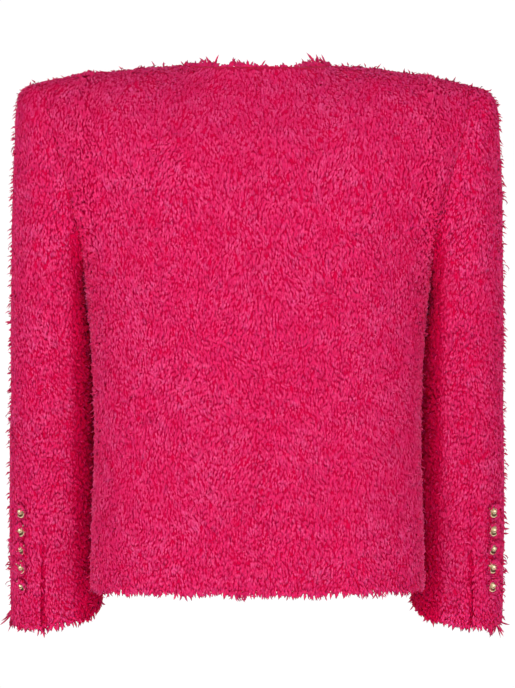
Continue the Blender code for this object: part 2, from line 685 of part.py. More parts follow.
def sleeve_frame(place, angle):
    """Point on the left sleeve and the direction out of it there."""
    small = 0.02
    here = sleeve_point(place, angle)
    round_it = sleeve_point(place, angle + 1.0) - sleeve_point(place, angle - 1.0)
    low, high = sleeve_point(min(place + small, LAST_RING), angle), sleeve_point(place - small, angle)
    return here, unit(np.cross(low - high, round_it))


def ring_at_height(height, angle):
    """Place along the sleeve where its side at this angle passes a height."""
    places = np.linspace(LAST_RING / 2, LAST_RING, 60)
    heights = [sleeve_point(place, angle)[2] for place in places]
    return float(np.interp(-height, -np.array(heights), places))


def make_underlap(word, side):
    """The under sleeve's extension behind the buttoned vent edge."""
    low = sleeve_point(LAST_RING, VENT_ANGLE)[2]
    first = ring_at_height(low + VENT_LENGTH, VENT_ANGLE)
    outside, inside = [], []
    for place in np.linspace(first, UNDERLAP_LAST, UNDERLAP_ROWS):
        seam = float(hind_seam(place))
        outer_row, inner_row = [], []
        for angle in np.linspace(seam - UNDERLAP_REACH, seam + UNDERLAP_SEWN, UNDERLAP_COLUMNS):
            point, out = sleeve_frame(place, angle)
            depth = WALL + VENT_SINK + UNDERLAP_GAP
            outer_row.append(point - out * depth)
            inner_row.append(point - out * (depth + UNDERLAP_THICKNESS))
        outside.append(outer_row)
        inside.append(inner_row)
    add_wall("vent_underlap_" + word, np.array(outside), np.array(inside), TWEED, side)


def make_buttons(word, side):
    low = sleeve_point(LAST_RING, BUTTON_ANGLE)[2] + BUTTON_ABOVE_CUFF
    for number in range(BUTTON_COUNT):
        height = low + BUTTON_PITCH * (BUTTON_COUNT - 1 - number)
        place = ring_at_height(height, BUTTON_ANGLE)
        point, out = sleeve_frame(place, BUTTON_ANGLE)
        name = "button_%s_%d" % (word, number + 1)
        add_button(name, point + out * 2 * SEAM, out, GOLD, side)


def make_fringes(word, side, front, sleeve, dice):
    neck = slice(0, NECK_COLUMNS + 1)
    fringes = (
        ("fringe_hem_front_", (0, slice(None)), (1, slice(None)), HEM_FRAY),
        ("fringe_neck_front_", (-1, neck), (-2, neck), NECK_FRAY),
        ("fringe_front_", (slice(0, -1), 0), (slice(0, -1), 1), FRONT_FRAY),
    )
    for name, edge, inward, fray in fringes:
        add_fringe(name + word, front, edge, inward, fray, side, dice)
    around = TOP_COLUMNS + UNDER_COLUMNS
    order = [(TOP_COLUMNS + k) % around for k in range(around + 1)]
    add_fringe("fringe_cuff_" + word, sleeve, (-1, order), (-2, order), CUFF_FRAY, side, dice)


def make_back_fringes(left, right, dice):
    """The strips that run across both halves of the back."""
    mirror = np.array([-1.0, 1.0, 1.0])
    whole = [np.concatenate([r[:, :0:-1] * mirror, k], axis=1) for k, r in zip(left, right)]
    neck = slice(PANEL_COLUMNS - NECK_COLUMNS, PANEL_COLUMNS + NECK_COLUMNS + 1)
    for name, edge, inward, fray in (
        ("fringe_hem_back", (0, slice(None)), (1, slice(None)), HEM_FRAY),
        ("fringe_neck_back", (-1, neck), (-2, neck), NECK_FRAY),
    ):
        both = fray._replace(strands=2 * fray.strands)
        add_fringe(name, whole, edge, inward, both, 1, dice)


def clear_scene():
    for thing in list(bpy.data.objects):
        bpy.data.objects.remove(thing, do_unlink=True)


def main():
    clear_scene()
    dice = random.Random(SEED)
    left, right = (make_half(side, dice) for side in (1, -1))
    make_back_fringes(left, right, dice)


main()
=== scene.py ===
"""Looks of a cropped bouclé jacket: cloth, pile, frayed edges, cuff buttons and a studio.

Metres, +Z up, the front faces -Y and the wearer's left is +X.  Each cloth panel is a thin shell
on its solid's form, and its long pile is a joined mesh of tufts that hang down its outside.
"""

import math
from collections import namedtuple

import bmesh
import bpy
import numpy as np
from bpy.props import FloatProperty, FloatVectorProperty, IntProperty, PointerProperty
from mathutils import Matrix, Vector
from mathutils.bvhtree import BVHTree
from mathutils.kdtree import KDTree


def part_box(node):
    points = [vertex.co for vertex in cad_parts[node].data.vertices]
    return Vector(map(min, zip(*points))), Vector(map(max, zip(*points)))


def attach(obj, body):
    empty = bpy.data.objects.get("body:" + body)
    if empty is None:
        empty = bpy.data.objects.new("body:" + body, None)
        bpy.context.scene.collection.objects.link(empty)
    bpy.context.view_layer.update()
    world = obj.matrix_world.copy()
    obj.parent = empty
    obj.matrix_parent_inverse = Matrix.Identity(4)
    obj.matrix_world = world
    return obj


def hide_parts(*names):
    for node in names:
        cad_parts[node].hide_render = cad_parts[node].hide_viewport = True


bl_info = {
    "name": "Bouclé jacket",
    "version": (1, 0, 0),
    "blender": (4, 5, 0),
    "location": "View3D > Sidebar > Jacket",
    "description": "Dresses the solids of a cropped jacket in long-pile bouclé",
    "category": "Object",
}

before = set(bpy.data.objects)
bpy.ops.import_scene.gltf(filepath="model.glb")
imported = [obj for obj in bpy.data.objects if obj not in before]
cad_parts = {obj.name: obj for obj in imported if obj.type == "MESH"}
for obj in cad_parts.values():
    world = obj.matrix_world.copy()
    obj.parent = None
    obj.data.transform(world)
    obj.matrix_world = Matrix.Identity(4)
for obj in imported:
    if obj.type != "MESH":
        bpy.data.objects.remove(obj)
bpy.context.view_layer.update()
BODY = "root"
PICTURE_WIDTH = 515  # pixels

# ---- the jacket's own tables ------------------------------------------------------------

SIDES = ("left", "right")

# The flat cut of each panel: the rectangle that it is cut from and its own area.
Cut = namedtuple("Cut", "node width length area")
CUTS = tuple(
    Cut(f"{panel}_{side}", *sizes)
    for panel, *sizes in (
        ("back", 0.254, 0.618, 0.1334),
        ("front", 0.310, 0.621, 0.1266),
        ("sleeve_top", 0.356, 0.604, 0.1113),
        ("sleeve_under", 0.180, 0.480, 0.0574),
        ("vent_underlap", 0.034, 0.140, 0.0046),
    )
    for side in SIDES
)
PILED = tuple(cut.node for cut in CUTS if not cut.node.startswith("vent"))

# Soft creases, each along a line seen from the back (xz) or from the side (yz).  A depth below
# zero is a trough.
Crease = namedtuple("Crease", "node plane a0 z0 a1 z1 width depth")
CREASES = (
    Crease("back_left", "xz", 0.196, -0.168, 0.128, -0.214, 0.011, -0.0016),
    Crease("back_left", "xz", 0.150, -0.330, 0.118, -0.452, 0.013, -0.0013),
    Crease("back_left", "xz", 0.040, -0.470, 0.052, -0.545, 0.012, 0.0014),
    Crease("back_right", "xz", -0.190, -0.180, -0.136, -0.236, 0.012, -0.0018),
    Crease("back_right", "xz", -0.142, -0.310, -0.120, -0.398, 0.014, -0.0012),
    Crease("back_right", "xz", -0.088, -0.462, -0.096, -0.548, 0.013, 0.0015),
    Crease("front_left", "xz", 0.192, -0.172, 0.120, -0.232, 0.012, -0.0018),
    Crease("front_left", "xz", 0.070, -0.380, 0.084, -0.520, 0.014, 0.0015),
    Crease("front_right", "xz", -0.188, -0.184, -0.128, -0.248, 0.012, -0.0017),
    Crease("front_right", "xz", -0.098, -0.400, -0.086, -0.534, 0.013, 0.0014),
    Crease("sleeve_top_left", "yz", -0.052, -0.352, 0.020, -0.386, 0.010, -0.0018),
    Crease("sleeve_top_left", "yz", -0.060, -0.408, -0.004, -0.424, 0.009, -0.0015),
    Crease("sleeve_top_left", "yz", -0.030, -0.120, 0.034, -0.146, 0.014, 0.0012),
    Crease("sleeve_top_right", "yz", -0.050, -0.340, 0.012, -0.372, 0.010, -0.0018),
    Crease("sleeve_top_right", "yz", -0.058, -0.396, 0.002, -0.420, 0.009, -0.0016),
    Crease("sleeve_top_right", "yz", -0.026, -0.132, 0.040, -0.150, 0.013, 0.0013),
)

# Frayed edges: which solid each stands for, the panel it is frayed out of, the space between its
# yarns, their thickness and length, how far they swing sideways and off the cloth, and the share
# of them that curls over into loops.
Fray = namedtuple("Fray", "node panel pitch thick shortest longest swing lift loops")


def pair_of_frays(node, panel, *sizes):
    return [Fray(f"{node}_{side}", f"{panel}_{side}", *sizes) for side in SIDES]


FRAYS = (
    Fray("fringe_hem_back", "back_left", 0.00090, 0.0024, 0.004, 0.0100, 0.35, 0.25, 0.20),
    *pair_of_frays("fringe_hem_front", "front", 0.00115, 0.0026, 0.004, 0.0100, 0.35, 0.25, 0.20),
    Fray("fringe_neck_back", "back_right", 0.00110, 0.0034, 0.004, 0.0105, 0.60, 0.30, 0.35),
    *pair_of_frays("fringe_neck_front", "front", 0.00160, 0.0032, 0.004, 0.0110, 0.70, 0.30, 0.30),
    *pair_of_frays("fringe_front", "front", 0.00170, 0.0030, 0.003, 0.0066, 0.55, 0.70, 0.15),
    *pair_of_frays("fringe_cuff", "sleeve_top", 0.00120, 0.0030, 0.004, 0.0125, 0.50, 0.30, 0.30),
)

# Where frayed yarns stand up in a bunch: the middle of it, its half width and how much longer
# than elsewhere they are.
Bunch = namedtuple("Bunch", "node x half_width extra")
BUNCHES = (
    Bunch("fringe_neck_back", 0.061, 0.006, 0.60),
    Bunch("fringe_neck_back", 0.045, 0.014, 0.65),
    Bunch("fringe_neck_back", 0.006, 0.015, 0.20),
    Bunch("fringe_neck_back", -0.022, 0.012, -0.50),
    Bunch("fringe_neck_back", -0.054, 0.004, 0.50),
    Bunch("fringe_neck_back", -0.072, 0.016, 0.55),
    Bunch("fringe_cuff_left", 0.264, 0.014, 0.40),
    Bunch("fringe_cuff_right", -0.264, 0.014, 0.40),
)

# How much of each cuff button the pile leaves open, as a radius, from the uppermost down.
Nest = namedtuple("Nest", "node clear")
NESTS = tuple(
    Nest(f"button_{side}_{number}", clear)
    for side, row in (
        ("left", (0.0044, 0.0036, 0.0016, 0.0034, 0.0018)),
        ("right", (0.0056, 0.0050, 0.0046, 0.0054, 0.0054)),
    )
    for number, clear in enumerate(row, 1)
)
NEST_EDGE = 0.0077  # no tuft of the panel grows nearer to a button's middle than this
NEST_TUFTS = 96  # tufts round each button that lie over its rim
NEST_SHIFT = (0.0030, 0.0034)  # from the middle to the open part, inwards and downwards


# Painted shade in the fold between the arm and the body: tufts there are coloured down to the
# root's crimson for the shade that falls in it. It goes by the distance from the middle, so it lies
# on the front as well as the back.
UNDERARM = (-0.145, 0.045)  # where the arm parts from the body, and how soon below it does
SLEEVE_FOLD = (0.206, 0.013)  # where the sleeve turns into that fold, outwards from the middle
BODY_FOLD = (0.180, 0.010)  # and where the body does
FOLD_SHADE = (0.70, 0.20)  # how much lower on its colour ramp a tuft's tip and root lie there
RIDGE = (0.184, 0.010, 2.0)  # middle, half width and extra height of the pile over the armhole
# Painted shadow under the vent's edge: tufts of the under sleeve there are coloured down into the
# dark shadow colour.
VENT_TOP = -0.485  # where the vent of each cuff begins
VENT_FADE = 0.080  # how far below it its shade is full
VENT_NEAR = (0.0032, 0.0036)  # how far from the vent's edge it begins to fade, and for how long
VENT_SIDE = 0.215  # the vent lies farther out than this, and the sleeve's front seam nearer in
VENT_SHADE = 1.2  # how far below its root's colour a tuft in the vent's shade is
OUTER_SINK_FROM = (0.200, 0.035)  # where the deeper sink of the outer sleeve starts and how soon
SEAM_RISE = (0.186, 0.012, 0.8)  # middle, half width and share of the sink given back at a seam

SHARP = math.radians(58.0)  # between the skin of a panel and its cut edge
RIM_STEPS = 12  # points on each edge of a panel's rim
SEWN_GAP = 0.0016  # cut edges closer than this are sewn together
ARMHOLE_GAP = 0.0055  # the same at the armhole, where the panels meet at an angle
ARMHOLE_BASE = -0.235  # height over which that holds
SEAM_OVERLAP = 0.00005  # how far a sewn edge goes past the middle of its seam
PILE_SCATTER = 4.0  # weight of the cloth's normal over a tuft's own in the shading
TURNED_AWAY = (-0.75, -0.35)  # cosines between the two at which a tuft shows its back
EVEN_STEPS = (0.7548776662, 0.5698402910)  # each root's step from the last, in its triangle
CUT_NEAR = 0.0046  # a cut edge frays where the solid of a fringe is nearer than this
CROSS_SECTION = ((-0.5, -0.12), (0.5, -0.12), (0.0, 0.88))  # of a tuft, sideways and upwards


# ---- settings ---------------------------------------------------------------------------


def number(name, default, description, **limits):
    return FloatProperty(name=name, description=description, default=default, **limits)


def length(name, default, description):
    return number(name, default, description, min=0.0, precision=4, unit="LENGTH")


def whole(name, default, description, least=0):
    return IntProperty(name=name, description=description, default=default, min=least)


def colour(name, default, description):
    return FloatVectorProperty(
        name=name, description=description, default=default, subtype="COLOR", min=0.0, max=1.0
    )


class PileSettings(bpy.types.PropertyGroup):
    """The long pile of the cloth."""

    sink: length("Sink", 0.0012, "How far the woven ground lies under the solid's outside")
    outer_sink: length("Outer sink", 0.0026, "The same on the outer side of the sleeves")
    spacing: length("Spacing", 0.00272, "Mean distance between two tufts")
    tuft: length("Tuft length", 0.0084, "Length of a tuft from root to tip")
    tuft_width: length("Tuft width", 0.0031, "Width of a tuft at its widest")
    lift: length("Lift", 0.0012, "Height of the crown of a tuft over the ground")
    stub: length("Stub length", 0.0068, "Length of the tufts that stand out of the pile")
    stub_width: length("Stub width", 0.0027, "Their width")
    stubs: whole("Stubs", 11000, "Standing tufts on a square metre")
    wisp: length("Wisp length", 0.0060, "Length of the loose yarns that stand out of the pile")
    wisps: whole("Wisps", 1300, "Loose yarns on a square metre")
    seed: whole("Seed", 11, "Start of the random numbers")


class ClothSettings(bpy.types.PropertyGroup):
    """Colours of the cloth and its yarns."""

    # Painted shade and highlight: the root's deep crimson stands for the shade between and under
    # the tufts. The light pink is partly painted highlight on the highest tufts and partly random
    # tone.
    root: colour("Root", (0.540, 0.0024, 0.050), "Deep crimson between the tufts")
    body: colour("Body", (0.650, 0.0148, 0.106), "Hot pink of the yarn")
    light: colour("Light", (0.690, 0.0580, 0.193), "Paler pink of the most brushed tufts")
    # Painted shadow: this dark crimson stands for the shade under the vent's edge and deep in the
    # fold.
    shade: colour("Painted_Shadow", (0.220, 0.0006, 0.014), "Darkest crimson under the vent's edge")
    tip: colour("Frayed tip", (0.260, 0.0120, 0.070), "Maroon of the frayed ends")
    ground: colour("Ground", (0.500, 0.0140, 0.085), "Woven ground on the wrong side")


class ButtonSettings(bpy.types.PropertyGroup):
    """The cuff buttons."""

    radius: length("Radius", 0.0075, "Half of a button's diameter")
    height: length("Height", 0.0034, "From its back to the crown of its dome")
    beads: whole("Beads", 26, "Beads round the rim", least=8)
    sunk: length("Sunk", 0.0036, "How far it is pressed into the pile")
    gold: colour("Gold", (1.000, 0.850, 0.540), "Bright antique gold")
    tarnish: colour("Tarnish", (0.700, 0.520, 0.280), "Darkened gold in the hollows")


class StudioSettings(bpy.types.PropertyGroup):
    """Camera, lights and floor."""

    distance: length("Camera distance", 3.5, "From the camera to the middle of the jacket")
    pixel: length("Pixel", 0.00108, "Size of one picture pixel at the middle of the jacket")
    aim_z: number("Aim height", -0.302, "Height that the camera looks at", unit="LENGTH")
    azimuth: number(
        "Azimuth", math.radians(179.5), "Direction of the camera round the jacket",
        subtype="ANGLE", unit="ROTATION",
    )
    floor_z: number(
        "Floor height", -1.40, "Height of the floor that a wearer stands on", unit="LENGTH"
    )
    key: number("Key light", 58.0, "Power of each large soft light", unit="POWER")
    fill: number("Fill", 0.56, "Brightness of the surrounding light", min=0.0)


# ---- numbers on arrays ------------------------------------------------------------------


def unit(vectors):
    return vectors / np.maximum(np.linalg.norm(vectors, axis=-1, keepdims=True), 1e-12)


def mix(a, b, share):
    return a + (b - a) * share


def smooth(x):
    x = np.clip(x, 0.0, 1.0)
    return x * x * (3 - 2 * x)


def across(vectors, normals):
    """The part of vectors that lies in the surface with these normals."""
    return vectors - normals * np.sum(vectors * normals, axis=-1, keepdims=True)


def ripples(points, size, seed):
    """A smooth random field over space, about -1 to 1, with patches of about this size."""
    dice = np.random.default_rng(seed)
    total = np.zeros(len(points))
    waves = 14
    for _ in range(waves):
        direction = unit(dice.normal(size=3))
        wave = 2 * math.pi / (size * dice.uniform(1.2, 3.2))
        total += np.sin(points @ direction * wave + dice.uniform(0, 2 * math.pi))
    return total / math.sqrt(waves / 2) / 1.6


# ---- materials --------------------------------------------------------------------------


class Graph:
    """Short calls for the nodes of one material or group."""

    def __init__(self, tree):
        self.tree = tree

    def add(self, kind, **values):
        node = self.tree.nodes.new(kind)
        for name, value in values.items():
            setattr(node, name, value)
        return node

    def join(self, source, target):
        self.tree.links.new(source, target)

    def maths(self, operation, a, b=0.0, clamp=False):
        node = self.add("ShaderNodeMath", operation=operation, use_clamp=clamp)
        for socket, value in zip(node.inputs, (a, b)):
            if isinstance(value, (int, float)):
                socket.default_value = value
            else:
                self.join(value, socket)
        return node.outputs[0]

    def ramp(self, value, low, high, to_low=0.0, to_high=1.0):
        node = self.add("ShaderNodeMapRange", interpolation_type="SMOOTHSTEP")
        self.join(value, node.inputs["Value"])
        for name, number in (
            ("From Min", low), ("From Max", high), ("To Min", to_low), ("To Max", to_high)
        ):
            node.inputs[name].default_value = number
        return node.outputs["Result"]

    def blend(self, factor, a, b):
        node = self.add("ShaderNodeMix", data_type="RGBA")
        for socket, value in ((node.inputs[0], factor), (node.inputs[6], a), (node.inputs[7], b)):
            if isinstance(value, bpy.types.NodeSocket):
                self.join(value, socket)
            else:
                socket.default_value = value
        return node.outputs[2]

    def noise(self, vector, scale, detail=2.0, roughness=0.5):
        node = self.add("ShaderNodeTexNoise")
        self.join(vector, node.inputs["Vector"])
        node.inputs["Scale"].default_value = scale
        node.inputs["Detail"].default_value = detail
        node.inputs["Roughness"].default_value = roughness
        return node.outputs["Fac"]


def new_group(name, inputs, outputs):
    """An empty shader node group, with its input and output nodes."""
    group = bpy.data.node_groups.new(name, "ShaderNodeTree")
    for label, kind in inputs:
        group.interface.new_socket(name=label, in_out="INPUT", socket_type=kind)
    for label, kind in outputs:
        group.interface.new_socket(name=label, in_out="OUTPUT", socket_type=kind)
    graph = Graph(group)
    return graph, graph.add("NodeGroupInput").outputs, graph.add("NodeGroupOutput").inputs


COLOUR, VALUE, VECTOR = "NodeSocketColor", "NodeSocketFloat", "NodeSocketVector"


def yarn_group():
    """Colour of a yarn from its root to its tip, mottled over the cloth, with painted shade and
    highlight.
    """
    if "Boucle Yarn" in bpy.data.node_groups:
        return bpy.data.node_groups["Boucle Yarn"]
    graph, given, made = new_group(
        "Boucle Yarn",
        (
            ("Place", VECTOR), ("Root", COLOUR), ("Body", COLOUR), ("Light", COLOUR),
            ("Tip", COLOUR), ("Painted_Shadow", COLOUR), ("Tone", VALUE), ("Along", VALUE),
            ("Frayed", VALUE),
        ),
        (("Color", COLOUR), ("Roughness", VALUE), ("Height", VALUE)),
    )
    patches = graph.noise(given["Place"], 55.0, 2.0)
    cloud = graph.noise(given["Place"], 16.0, 1.0)
    fibres = graph.noise(given["Place"], 1900.0, 1.0)
    drawn = graph.add("ShaderNodeVectorMath", operation="MULTIPLY")
    graph.join(given["Place"], drawn.inputs[0])
    drawn.inputs[1].default_value = (1.0, 1.0, 0.4)
    streaks = graph.noise(drawn.outputs[0], 560.0, 1.0)
    # Painted shade low on the ramp (the root's crimson) and painted highlight high on it (the light
    # pink), mixed with random streaks, patches and tone.
    lit_level = graph.maths("ADD", given["Along"], graph.ramp(streaks, 0.30, 0.70, -0.12, 0.12))
    yarn = graph.blend(graph.ramp(lit_level, 0.12, 0.62), given["Root"], given["Body"])
    highlighted = graph.maths("MULTIPLY", graph.ramp(lit_level, 0.45, 1.0), given["Tone"])
    mottle_and_highlight = graph.maths("ADD", highlighted, graph.ramp(patches, 0.35, 0.75, -0.20, 0.20))
    mottle_and_highlight = graph.maths("ADD", mottle_and_highlight, graph.ramp(cloud, 0.35, 0.65, -0.12, 0.10), clamp=True)
    mottle_and_highlight = graph.maths("MULTIPLY", mottle_and_highlight, graph.ramp(lit_level, 0.25, 0.70))
    yarn = graph.blend(mottle_and_highlight, yarn, given["Light"])
    # Painted shadow: where the ramp falls below zero, the yarn takes the dark shadow colour.
    yarn = graph.blend(graph.ramp(given["Along"], -0.6, 0.0), given["Painted_Shadow"], yarn)
    frayed = graph.maths("MULTIPLY", graph.ramp(given["Along"], 0.15, 0.9), given["Frayed"])
    yarn = graph.blend(frayed, yarn, given["Tip"])
    graph.join(yarn, made["Color"])
    graph.join(graph.ramp(fibres, 0.2, 0.8, 0.80, 0.96), made["Roughness"])
    graph.join(fibres, made["Height"])
    return graph.tree


def nub_group():
    """The woven ground: uneven nubs on crossing threads."""
    if "Woven Nubs" in bpy.data.node_groups:
        return bpy.data.node_groups["Woven Nubs"]
    graph, given, made = new_group(
        "Woven Nubs",
        (("Place", VECTOR), ("Ground", COLOUR), ("Deep", COLOUR), ("Nub Scale", VALUE)),
        (("Color", COLOUR), ("Roughness", VALUE), ("Height", VALUE)),
    )
    nubs = graph.add("ShaderNodeTexVoronoi")
    graph.join(given["Place"], nubs.inputs["Vector"])
    graph.join(given["Nub Scale"], nubs.inputs["Scale"])
    threads = graph.add("ShaderNodeTexWave", bands_direction="Z", wave_profile="SIN")
    graph.join(given["Place"], threads.inputs["Vector"])
    threads.inputs["Scale"].default_value = 150.0
    threads.inputs["Distortion"].default_value = 2.5
    threads.inputs["Detail"].default_value = 1.0
    crown = graph.ramp(nubs.outputs["Distance"], 0.05, 0.75, 1.0, 0.0)
    height = graph.maths("MULTIPLY", crown, graph.ramp(threads.outputs["Fac"], 0.0, 1.0, 0.55, 1.0))
    mottle = graph.ramp(graph.noise(given["Place"], 60.0), 0.3, 0.7, -0.15, 0.15)
    shade = graph.ramp(graph.maths("ADD", height, mottle), 0.1, 0.8)
    graph.join(graph.blend(shade, given["Deep"], given["Ground"]), made["Color"])
    graph.join(graph.ramp(height, 0.0, 1.0, 0.97, 0.84), made["Roughness"])
    graph.join(height, made["Height"])
    return graph.tree


def tarnish_group():
    """Cast metal that has darkened in its hollows and is rubbed bright on its crowns."""
    if "Antique Metal" in bpy.data.node_groups:
        return bpy.data.node_groups["Antique Metal"]
    graph, given, made = new_group(
        "Antique Metal",
        (("Place", VECTOR), ("Bright", COLOUR), ("Dark", COLOUR), ("Crown", VALUE)),
        (("Color", COLOUR), ("Roughness", VALUE), ("Height", VALUE)),
    )
    grain = graph.noise(given["Place"], 900.0, 3.0, 0.6)
    stain = graph.noise(given["Place"], 240.0, 2.0)
    rubbed = graph.maths("ADD", given["Crown"], graph.ramp(stain, 0.3, 0.7, -0.25, 0.2), clamp=True)
    graph.join(graph.blend(rubbed, given["Dark"], given["Bright"]), made["Color"])
    graph.join(graph.ramp(grain, 0.25, 0.8, 0.24, 0.46), made["Roughness"])
    graph.join(grain, made["Height"])
    return graph.tree


def finish(name, group, inputs, attributes, constants, bump):
    """A Principled material whose colour, roughness and relief come out of one group."""
    made = bpy.data.materials.new(name)
    made.use_nodes = True
    graph = Graph(made.node_tree)
    shader = made.node_tree.nodes["Principled BSDF"]
    place = graph.add("ShaderNodeTexCoord").outputs["Object"]
    effect = graph.add("ShaderNodeGroup", node_tree=group)
    graph.join(place, effect.inputs["Place"])
    for label, value in inputs.items():
        value = (*value, 1.0) if len(value) == 3 else value[0]
        effect.inputs[label].default_value = value
    for label, attribute in attributes.items():
        read = graph.add("ShaderNodeAttribute", attribute_name=attribute)
        graph.join(read.outputs["Fac"], effect.inputs[label])
    graph.join(effect.outputs["Color"], shader.inputs["Base Color"])
    graph.join(effect.outputs["Roughness"], shader.inputs["Roughness"])
    relief = graph.add("ShaderNodeBump")
    relief.inputs["Strength"].default_value = bump[0]
    relief.inputs["Distance"].default_value = bump[1]
    graph.join(effect.outputs["Height"], relief.inputs["Height"])
    if attributes.get("Along"):
        graph.join(soft_normal(graph), relief.inputs["Normal"])
    graph.join(relief.outputs["Normal"], shader.inputs["Normal"])
    for label, value in constants.items():
        shader.inputs[label].default_value = value
    return made


def soft_normal(graph):
    """A tuft's own normal drawn towards that of the cloth, as light is scattered in the pile.

    One that shows its back, such as past a cut edge, is drawn towards the cloth's wrong side.
    """
    cloth = graph.add("ShaderNodeAttribute", attribute_name="facing")
    turn = graph.add(
        "ShaderNodeVectorTransform", vector_type="NORMAL", convert_from="OBJECT",
        convert_to="WORLD",
    )
    graph.join(cloth.outputs["Vector"], turn.inputs[0])
    own = graph.add("ShaderNodeNewGeometry").outputs["Normal"]
    agreed = graph.add("ShaderNodeVectorMath", operation="DOT_PRODUCT")
    graph.join(turn.outputs[0], agreed.inputs[0])
    graph.join(own, agreed.inputs[1])
    scaled = graph.add("ShaderNodeVectorMath", operation="MULTIPLY_ADD")
    graph.join(turn.outputs[0], scaled.inputs[0])
    weight = graph.ramp(agreed.outputs["Value"], *TURNED_AWAY, -PILE_SCATTER, PILE_SCATTER)
    graph.join(weight, scaled.inputs[1])
    graph.join(own, scaled.inputs[2])
    level = graph.add("ShaderNodeVectorMath", operation="NORMALIZE")
    graph.join(scaled.outputs[0], level.inputs[0])
    return level.outputs[0]


SOFT = {
    "Subsurface Weight": 0.85,
    "Subsurface Radius": (1.0, 0.20, 0.35),
    "Subsurface Scale": 0.0007,
    "Sheen Weight": 0.08,
    "Sheen Roughness": 0.4,
    "Sheen Tint": (1.0, 0.35, 0.55, 1.0),
    "Specular IOR Level": 0.0,
}


def material(name):
    """One of the jacket's materials, made when it is first asked for."""
    if name in bpy.data.materials:
        return bpy.data.materials[name]
    cloth = bpy.context.scene.jacket_cloth
    button = bpy.context.scene.jacket_buttons
    if name in ("pink_pile", "frayed_yarn"):
        read = {"Tone": "tone", "Along": "along", "Frayed": "frayed"}
        inputs = {"Root": cloth.root, "Body": cloth.body, "Light": cloth.light}
        inputs |= {"Tip": cloth.tip, "Painted_Shadow": cloth.shade}
        if name == "frayed_yarn":
            inputs["Root"] = cloth.body
        return finish(name, yarn_group(), inputs, read, SOFT, (0.25, 0.0004))
    if name == "pile_ground":
        # The ground between the tufts has the root's crimson, as painted shade.
        inputs = {"Ground": cloth.root, "Deep": cloth.root, "Nub Scale": (330.0,)}
        return finish(name, nub_group(), inputs, {}, SOFT, (0.6, 0.0008))
    if name == "wrong_side":
        inputs = {"Ground": cloth.ground, "Deep": cloth.root, "Nub Scale": (420.0,)}
        return finish(name, nub_group(), inputs, {}, SOFT, (0.6, 0.0006))
    inputs, cast = {"Bright": button.gold, "Dark": button.tarnish}, {"Metallic": 0.30}
    return finish(name, tarnish_group(), inputs, {"Crown": "crown"}, cast, (0.2, 0.0002))


# ---- meshes -----------------------------------------------------------------------------


def link(name, mesh, *materials):
    """A new piece in the scene, at the origin, riding on the jacket's one body."""
    piece = bpy.data.objects.new(name, mesh)
    bpy.context.scene.collection.objects.link(piece)
    for each in materials:
        mesh.materials.append(material(each))
    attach(piece, BODY)
    return piece


def mesh_from_arrays(name, points, triangles, values):
    """A smooth mesh with one number per point for each named value."""
    mesh = bpy.data.meshes.new(name)
    mesh.vertices.add(len(points))
    mesh.vertices.foreach_set("co", points.astype(np.float32).ravel())
    mesh.loops.add(3 * len(triangles))
    mesh.loops.foreach_set("vertex_index", triangles.astype(np.int32).ravel())
    mesh.polygons.add(len(triangles))
    mesh.polygons.foreach_set("loop_start", np.arange(0, 3 * len(triangles), 3, dtype=np.int32))
    for label, numbers in values.items():
        kind, field = ("FLOAT", "value") if numbers.ndim == 1 else ("FLOAT_VECTOR", "vector")
        layer = mesh.attributes.new(label, kind, "POINT")
        layer.data.foreach_set(field, numbers.astype(np.float32).ravel())
    mesh.update(calc_edges=True)
    mesh.shade_smooth()
    return mesh


def petal_arrays(roots, lie, off, reach, half, crown, tip, sway, tone, facing, lit_level):
    """Leaf-shaped tufts: a root, two edges, a tip and a crown in the middle of each.

    Each lies along lie and rises along off; half is half its width.  Along is 0 at its root and
    grown, at most 1, on its crown.  Low on it the colour is painted shade, deep crimson, and high
    on it painted highlight, paler pink.
    """
    count = len(roots)
    side = np.cross(off, lie)
    edge, level = 0.45 * crown, np.full(count, -0.0006)

    def spot(share, height, aside):
        shift = lie * (reach * share)[:, None] + off * height[:, None] + side * aside[:, None]
        return roots + shift

    points = np.stack(
        [
            spot(0.0, level, 0 * half), spot(0.46, edge, -half), spot(0.54, edge, half),
            spot(1.0, tip, sway), spot(0.5, crown, 0.3 * sway),
        ],
        axis=1,
    )
    triangles = np.array(((0, 1, 4), (0, 4, 2), (3, 2, 4), (3, 4, 1), (0, 3, 1), (0, 2, 3)))
    triangles = triangles[None] + (np.arange(count) * 5)[:, None, None]
    values = {
        "along": (np.array([0.0, 0.46, 0.46, 0.72, 1.0]) * lit_level[:, None]).ravel(),
        "tone": np.repeat(tone, 5),
        "frayed": np.zeros(5 * count),
        "facing": np.repeat(facing, 5, axis=0),
    }
    return points.reshape(-1, 3), triangles.reshape(-1, 3), values


